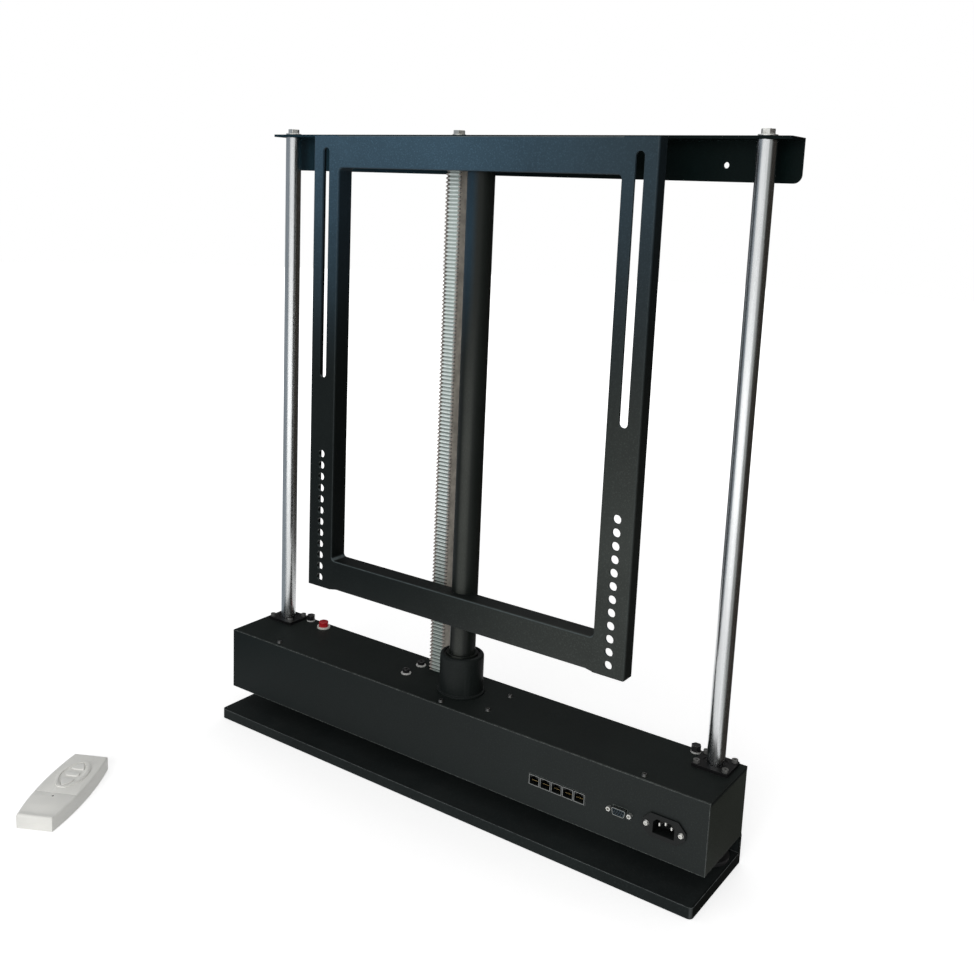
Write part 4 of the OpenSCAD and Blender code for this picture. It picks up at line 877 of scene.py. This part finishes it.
def handsetCover(look):
    bm = mergedCopy("handset_cover")
    toHandset(bm)
    bevelEdges(bm, outerRim(bm, look["height"], look), mm(look["topRound"]), 5)
    columns = [look["seamX"] + side * look["seamHalf"] for side in (-1, 0, 1)]
    columns += [look["scoopFrom"] - i * look["scoopStep"] for i in range(look["scoopCuts"])]
    for x in columns:
        cut(bm, (mm(x), 0, 0), (1, 0, 0))
    for y in look["rows"]:
        cut(bm, (0, mm(y), 0), (0, 1, 0))
    lipFrom = mm(look["scoopTo"] + look["lipLong"])
    for v in bm.verts:
        if v.co.z < mm(look["height"] - look["scoopBand"]):
            continue
        onSeam = abs(v.co.x - mm(look["seamX"])) < mm(look["seamSlack"])
        if onSeam and v.co.z > mm(look["height"] - look["seamBand"]):
            v.co.z -= mm(look["seamDepth"])
        down = smoothStep(mm(look["scoopFrom"]), lipFrom, v.co.x)
        lip = smoothStep(lipFrom, mm(look["scoopTo"]), v.co.x)
        across = 1 - (v.co.y / mm(look["crownHalf"])) ** 2
        v.co.z -= mm(look["scoopDepth"]) * down * (1 - look["lipRise"] * lip) * across
    fromHandset(bm)
    softened("handset_cover", bm, mm(look["coverEdge"]), 2, look["sharp"])


def handsetBase(look):
    bm = mergedCopy("handset_base")
    toHandset(bm)
    bevelEdges(bm, outerRim(bm, 0, look), mm(look["bottomRound"]), 4)
    fromHandset(bm)
    softened("handset_base", bm, mm(look["baseEdge"]), 2, look["sharp"])


def handsetLed(look):
    bm = bmesh.new()
    bmesh.ops.create_uvsphere(bm, u_segments=24, v_segments=12, radius=mm(look["ledR"]))
    bmesh.ops.scale(bm, vec=(1, 1, look["ledFlat"]), verts=bm.verts)
    shift(bm, bm.verts, look["ledX"], 0, look["height"] - look["ledSunk"])
    fromHandset(bm)
    lens = plastic("led_lens", dict(colour=(0.03, 0.025, 0.025), roughness=0.15, grain=2500, depth=0.000002))
    finishPiece("handsetLed", bm, "stand", "handset_keys", 60, lens)


key = dict(bore=0, rim=0.9, rimSteps=4, edge=0.1, edgeSteps=1, sharp=45)
handsetCover(handset)
handsetBase(handset)
for keyName in ("up_key", "stop_key", "down_key"):
    roundedTop(keyName, key)
handsetLed(handset)
print("handset done")

jacks = dict(
    count=5, left=134, pitch=14.6, front=-50.8, rimMiddle=72, rimHigh=12.2, rimGap=1.2, rimW=0.6,
    rimOut=0.25, rimSunk=0.1, wires=8, wirePitch=1.02, wireR=0.2, wireLong=8.5, wireLean=64, wireIn=5.6,
    wireZ=69.4)
contactGold = workedMetal("contact_gold", dict(
    colour=(0.80, 0.58, 0.25), roughness=0.24, stretch=(1, 0.2, 1), stainColour=(0.5, 0.35, 0.15)))
rimGrey = plastic("rim_grey", dict(colour=(0.24, 0.25, 0.245), roughness=0.45, specular=0.4, grain=1500))


def jackMiddles(look):
    return [look["left"] + (i + 0.5) * look["pitch"] for i in range(look["count"])]


def jackRims(look):
    # a raised pale rim round each opening
    bm = bmesh.new()
    for x in jackMiddles(look):
        verts = bmesh.ops.create_grid(bm, x_segments=1, y_segments=1, size=0.5)["verts"]
        bmesh.ops.scale(bm, vec=(mm(look["pitch"] - look["rimGap"]), mm(look["rimHigh"]), 1), verts=verts)
        tip(bm, verts)
        shift(bm, verts, x, look["front"] - look["rimOut"], look["rimMiddle"])
    inset = bmesh.ops.inset_individual(bm, faces=bm.faces[:], use_even_offset=True,
                                       thickness=mm(look["rimW"]))
    bmesh.ops.delete(bm, geom=[f for f in bm.faces if f not in inset["faces"]], context="FACES")
    pushFaces(bm, 0, look["rimOut"] + look["rimSunk"], 0)
    finishPiece("jackRims", bm, "motor_box", "socket_black", 32, rimGrey)


def jackWires(look):
    # the sprung contacts, which lean back into each opening
    bm = bmesh.new()
    for middle in jackMiddles(look):
        for k in range(look["wires"]):
            verts = pin(bm, look["wireR"], look["wireLong"], 6)
            tip(bm, verts, look["wireLean"])
            x = middle + (k - (look["wires"] - 1) / 2) * look["wirePitch"]
            shift(bm, verts, x, look["front"] + look["wireIn"], look["wireZ"])
    bmesh.ops.recalc_face_normals(bm, faces=bm.faces[:])
    finishPiece("jackWires", bm, "motor_box", "socket_nickel", 40, contactGold)


jackRims(jacks)
jackWires(jacks)

serial = dict(
    place=(250, -50, 75), topHalf=8.4, lowHalf=6.9, halfH=4.2, proud=5, wall=0.55, corner=2.0, through=1.5,
    edge=0.15, insertGap=0.15, insertIn=0.5, insertBack=0.6, pinPitch=2.76, pinRow=1.4, pinR=0.72,
    pinLong=1.2, pinSides=12, pinWall=0.22, pinDeep=1.0, pinBack=0.25)
# sheet flange and the two rear blocks behind the panel, as the CAD has them, from the socket's place
serialBlocks = (((-15.7, 2, -6.2), (15.7, 3, 6.2)), ((-9, 2.5, -6.2), (9, 11, 6.2)),
                ((-7, 7, -9.35), (7, 11, 0)))
insertBlue = plastic("serial_insert", dict(
    colour=(0.012, 0.024, 0.034), roughness=0.4, specular=0.3, grain=1500))
contactDark = workedMetal("contact_dark", dict(
    colour=(0.20, 0.16, 0.10), roughness=0.35, stretch=(1, 1, 1), stainColour=(0.1, 0.08, 0.05)))


def shellOutline(bm, look, shrink):
    # the socket's D outline, drawn flat
    verts = bmesh.ops.create_grid(bm, x_segments=1, y_segments=1, size=1)["verts"]
    for v in verts:
        half = (look["topHalf"] if v.co.y > 0 else look["lowHalf"]) - shrink
        v.co.x = math.copysign(mm(half), v.co.x)
        v.co.y = math.copysign(mm(look["halfH"] - shrink), v.co.y)
    bmesh.ops.bevel(bm, geom=verts, offset=mm(look["corner"] - shrink), offset_type="OFFSET",
                    affect="VERTICES", segments=6, profile=0.5, material=-1, clamp_overlap=True)


def standUp(bm, look, outward):
    # from flat to the panel's plane, so far out of it
    x, y, z = look["place"]
    tip(bm, bm.verts)
    shift(bm, bm.verts, x, y - outward, z)


def serialShell(look):
    bm = bmesh.new()
    shellOutline(bm, look, 0)
    bmesh.ops.inset_individual(bm, faces=bm.faces[:], thickness=mm(look["wall"]), use_even_offset=True)
    middle = max(bm.faces, key=lambda f: len(f.verts))
    bmesh.ops.delete(bm, geom=[middle], context="FACES")
    pushFaces(bm, 0, 0, -look["proud"] - look["through"])
    standUp(bm, look, look["proud"])
    softEdges(finishPiece("serialShell", bm, "motor_box", "socket_nickel", 40), mm(look["edge"]), 2, 30)


def serialInsert(look):
    bm = bmesh.new()
    shellOutline(bm, look, look["wall"] + look["insertGap"])
    pushFaces(bm, 0, 0, look["insertIn"] - look["proud"])
    standUp(bm, look, look["proud"] - look["insertBack"])
    finishPiece("serialInsert", bm, "motor_box", "socket_black", 40, insertBlue)


def serialPins(look):
    # two rows of bored contacts
    bm = bmesh.new()
    spots = [(i, 1) for i in range(-2, 3)] + [(i + 0.5, -1) for i in range(-2, 2)]
    for column, row in spots:
        verts = pin(bm, look["pinR"], look["pinLong"], look["pinSides"])
        shift(bm, verts, column * look["pinPitch"], row * look["pinRow"], 0)
    caps = [f for f in bm.faces if f.normal.z > 0.9]
    bmesh.ops.inset_individual(bm, faces=caps, thickness=mm(look["pinWall"]), depth=0)
    bores = [f for f in bm.faces if f.normal.z > 0.9 and len(f.verts) == look["pinSides"]]
    shift(bm, list({v for f in bores for v in f.verts}), 0, 0, -look["pinDeep"])
    standUp(bm, look, look["proud"] - look["pinBack"])
    finishPiece("serialPins", bm, "motor_box", "socket_nickel", 40, contactDark)


def serialFlange(look, blocks):
    bm = bmesh.new()
    for low, high in blocks:
        block(bm, Vector(look["place"]) + Vector(low), Vector(look["place"]) + Vector(high))
    piece = finishPiece("serialFlange", bm, "motor_box", "socket_nickel")
    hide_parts("serial_socket")


serialShell(serial)
serialInsert(serial)
serialPins(serial)
serialFlange(serial, serialBlocks)
print("sockets done")

floorLook = dict(
    radius=9, sides=64, level=-0.2, colour=(0.84, 0.84, 0.84), roughness=0.9, glow=0.55, farGlow=1,
    fades=(0.7, 2.2))


def whiteForEyes(tree):
    # camera, mirror and glass rays see the plain white background
    path = newNode(tree, "ShaderNodeLightPath").outputs
    both = sumOf(tree, "MAXIMUM", path["Is Camera Ray"], path["Is Glossy Ray"])
    return sumOf(tree, "MAXIMUM", both, path["Is Transmission Ray"])


def stagePiece(name, bm, material):
    piece = newPiece(name, bm)
    piece.data.materials.append(material)
    return piece


def placeFloor(look):
    bm = bmesh.new()
    bmesh.ops.create_circle(bm, cap_ends=True, segments=look["sides"], radius=look["radius"])
    shift(bm, bm.verts, 0, 0, look["level"])
    material, tree = blankMaterial("floorWhite")
    shader = tree.nodes["Principled BSDF"]
    shader.inputs["Base Color"].default_value = (*look["colour"], 1)
    shader.inputs["Roughness"].default_value = look["roughness"]
    shader.inputs["Specular IOR Level"].default_value = 0
    away = newNode(tree, "ShaderNodeVectorMath", operation="LENGTH")
    join(tree, newNode(tree, "ShaderNodeTexCoord").outputs["Object"], away.inputs[0])
    rise = eased(tree, away.outputs["Value"], look["fades"], (look["glow"], look["farGlow"]))
    glow = newNode(tree, "ShaderNodeEmission")
    join(tree, product(tree, whiteForEyes(tree), rise), glow.inputs["Strength"])
    both = newNode(tree, "ShaderNodeAddShader")
    join(tree, shader.outputs[0], both.inputs[0])
    join(tree, glow.outputs[0], both.inputs[1])
    join(tree, both.outputs[0], tree.nodes["Material Output"].inputs["Surface"])
    stagePiece("floor", bm, material)


placeFloor(floorLook)

worldLook = dict(fill=0.44)
world = bpy.data.worlds.new("studio")
scene.world = world
world.use_nodes = True
background = world.node_tree.nodes["Background"].inputs
background["Color"].default_value = (1, 1, 1, 1)
seenWhite = whiteForEyes(world.node_tree)
strength = spread(world.node_tree, seenWhite, (0, 1), (worldLook["fill"], 1))
join(world.node_tree, strength, background["Strength"])

# metres and watts; polished metal doesn't mirror the key lamp
lamps = dict(
    key=dict(place=(0.75, -2.6, 1.1), aim=(0, 0, 0.4), size=1.4, power=38, mirrored=False),
    fill=dict(place=(-2.4, -0.9, 1.4), aim=(0, 0, 0.4), size=1.6, power=3, mirrored=True),
    back=dict(place=(-0.4, 1.9, 2.4), aim=(0, 0, 0.4), size=1.6, power=6, mirrored=True),
)


def placeLamp(name, look):
    data = bpy.data.lights.new(name, "AREA")
    data.shape = "SQUARE"
    data.size = look["size"]
    data.energy = look["power"]
    light = bpy.data.objects.new(name, data)
    light.location = look["place"]
    way = Vector(look["aim"]) - Vector(look["place"])
    light.rotation_euler = way.to_track_quat("-Z", "Y").to_euler()
    light.visible_glossy = look["mirrored"]
    scene.collection.objects.link(light)


for lampName, lamp in lamps.items():
    placeLamp(lampName, lamp)

# curved cards round the set with their lower part laid on the floor, seen only in reflections, as flags are
# used to shape polished metal; metres, and degrees round the object from the side of the camera
cards = dict(
    near=dict(start=20, end=46, inside=0.62, outside=1.3, high=2.2, colour=(0.40, 0.41, 0.40)),
    right=dict(start=46, end=150, inside=0.37, outside=1.3, high=2.2, colour=(0.040, 0.036, 0.031)),
    back=dict(start=150, end=215, inside=0.62, outside=1.3, high=1.6, colour=(0.08, 0.08, 0.085)),
    left=dict(start=215, end=300, inside=0.50, outside=1.3, high=1.9, colour=(0.30, 0.335, 0.37)),
)
cardShape = dict(level=0.002, steps=16)


def placeCard(name, look, shape):
    towards = -Vector((cameraAhead.x, cameraAhead.y, 0)).normalized()
    bm = bmesh.new()
    near = bm.verts.new(towards * look["inside"] + Vector((0, 0, shape["level"])))
    foot = bm.verts.new(towards * look["outside"] + Vector((0, 0, shape["level"])))
    head = bm.verts.new(towards * look["outside"] + Vector((0, 0, look["high"])))
    profile = [near, foot, head, bm.edges.new((near, foot)), bm.edges.new((foot, head))]
    start = Matrix.Rotation(math.radians(look["start"]), 3, "Z")
    bmesh.ops.rotate(bm, cent=(0, 0, 0), matrix=start, verts=bm.verts)
    bmesh.ops.spin(bm, geom=profile, cent=(0, 0, 0), axis=(0, 0, 1), dvec=(0, 0, 0),
                   angle=math.radians(look["end"] - look["start"]), steps=shape["steps"])
    material, tree = blankMaterial(name)
    tree.nodes.remove(tree.nodes["Principled BSDF"])
    glow = newNode(tree, "ShaderNodeEmission")
    glow.inputs["Color"].default_value = (*look["colour"], 1)
    join(tree, glow.outputs[0], tree.nodes["Material Output"].inputs["Surface"])
    piece = stagePiece(name, bm, material)
    piece.visible_camera = False
    piece.visible_diffuse = False
    piece.visible_shadow = False
    piece.visible_transmission = False


for cardName, card in cards.items():
    placeCard(cardName + "Card", card, cardShape)

scene.view_settings.view_transform = "Standard"
print("floor, lamps and cards placed")
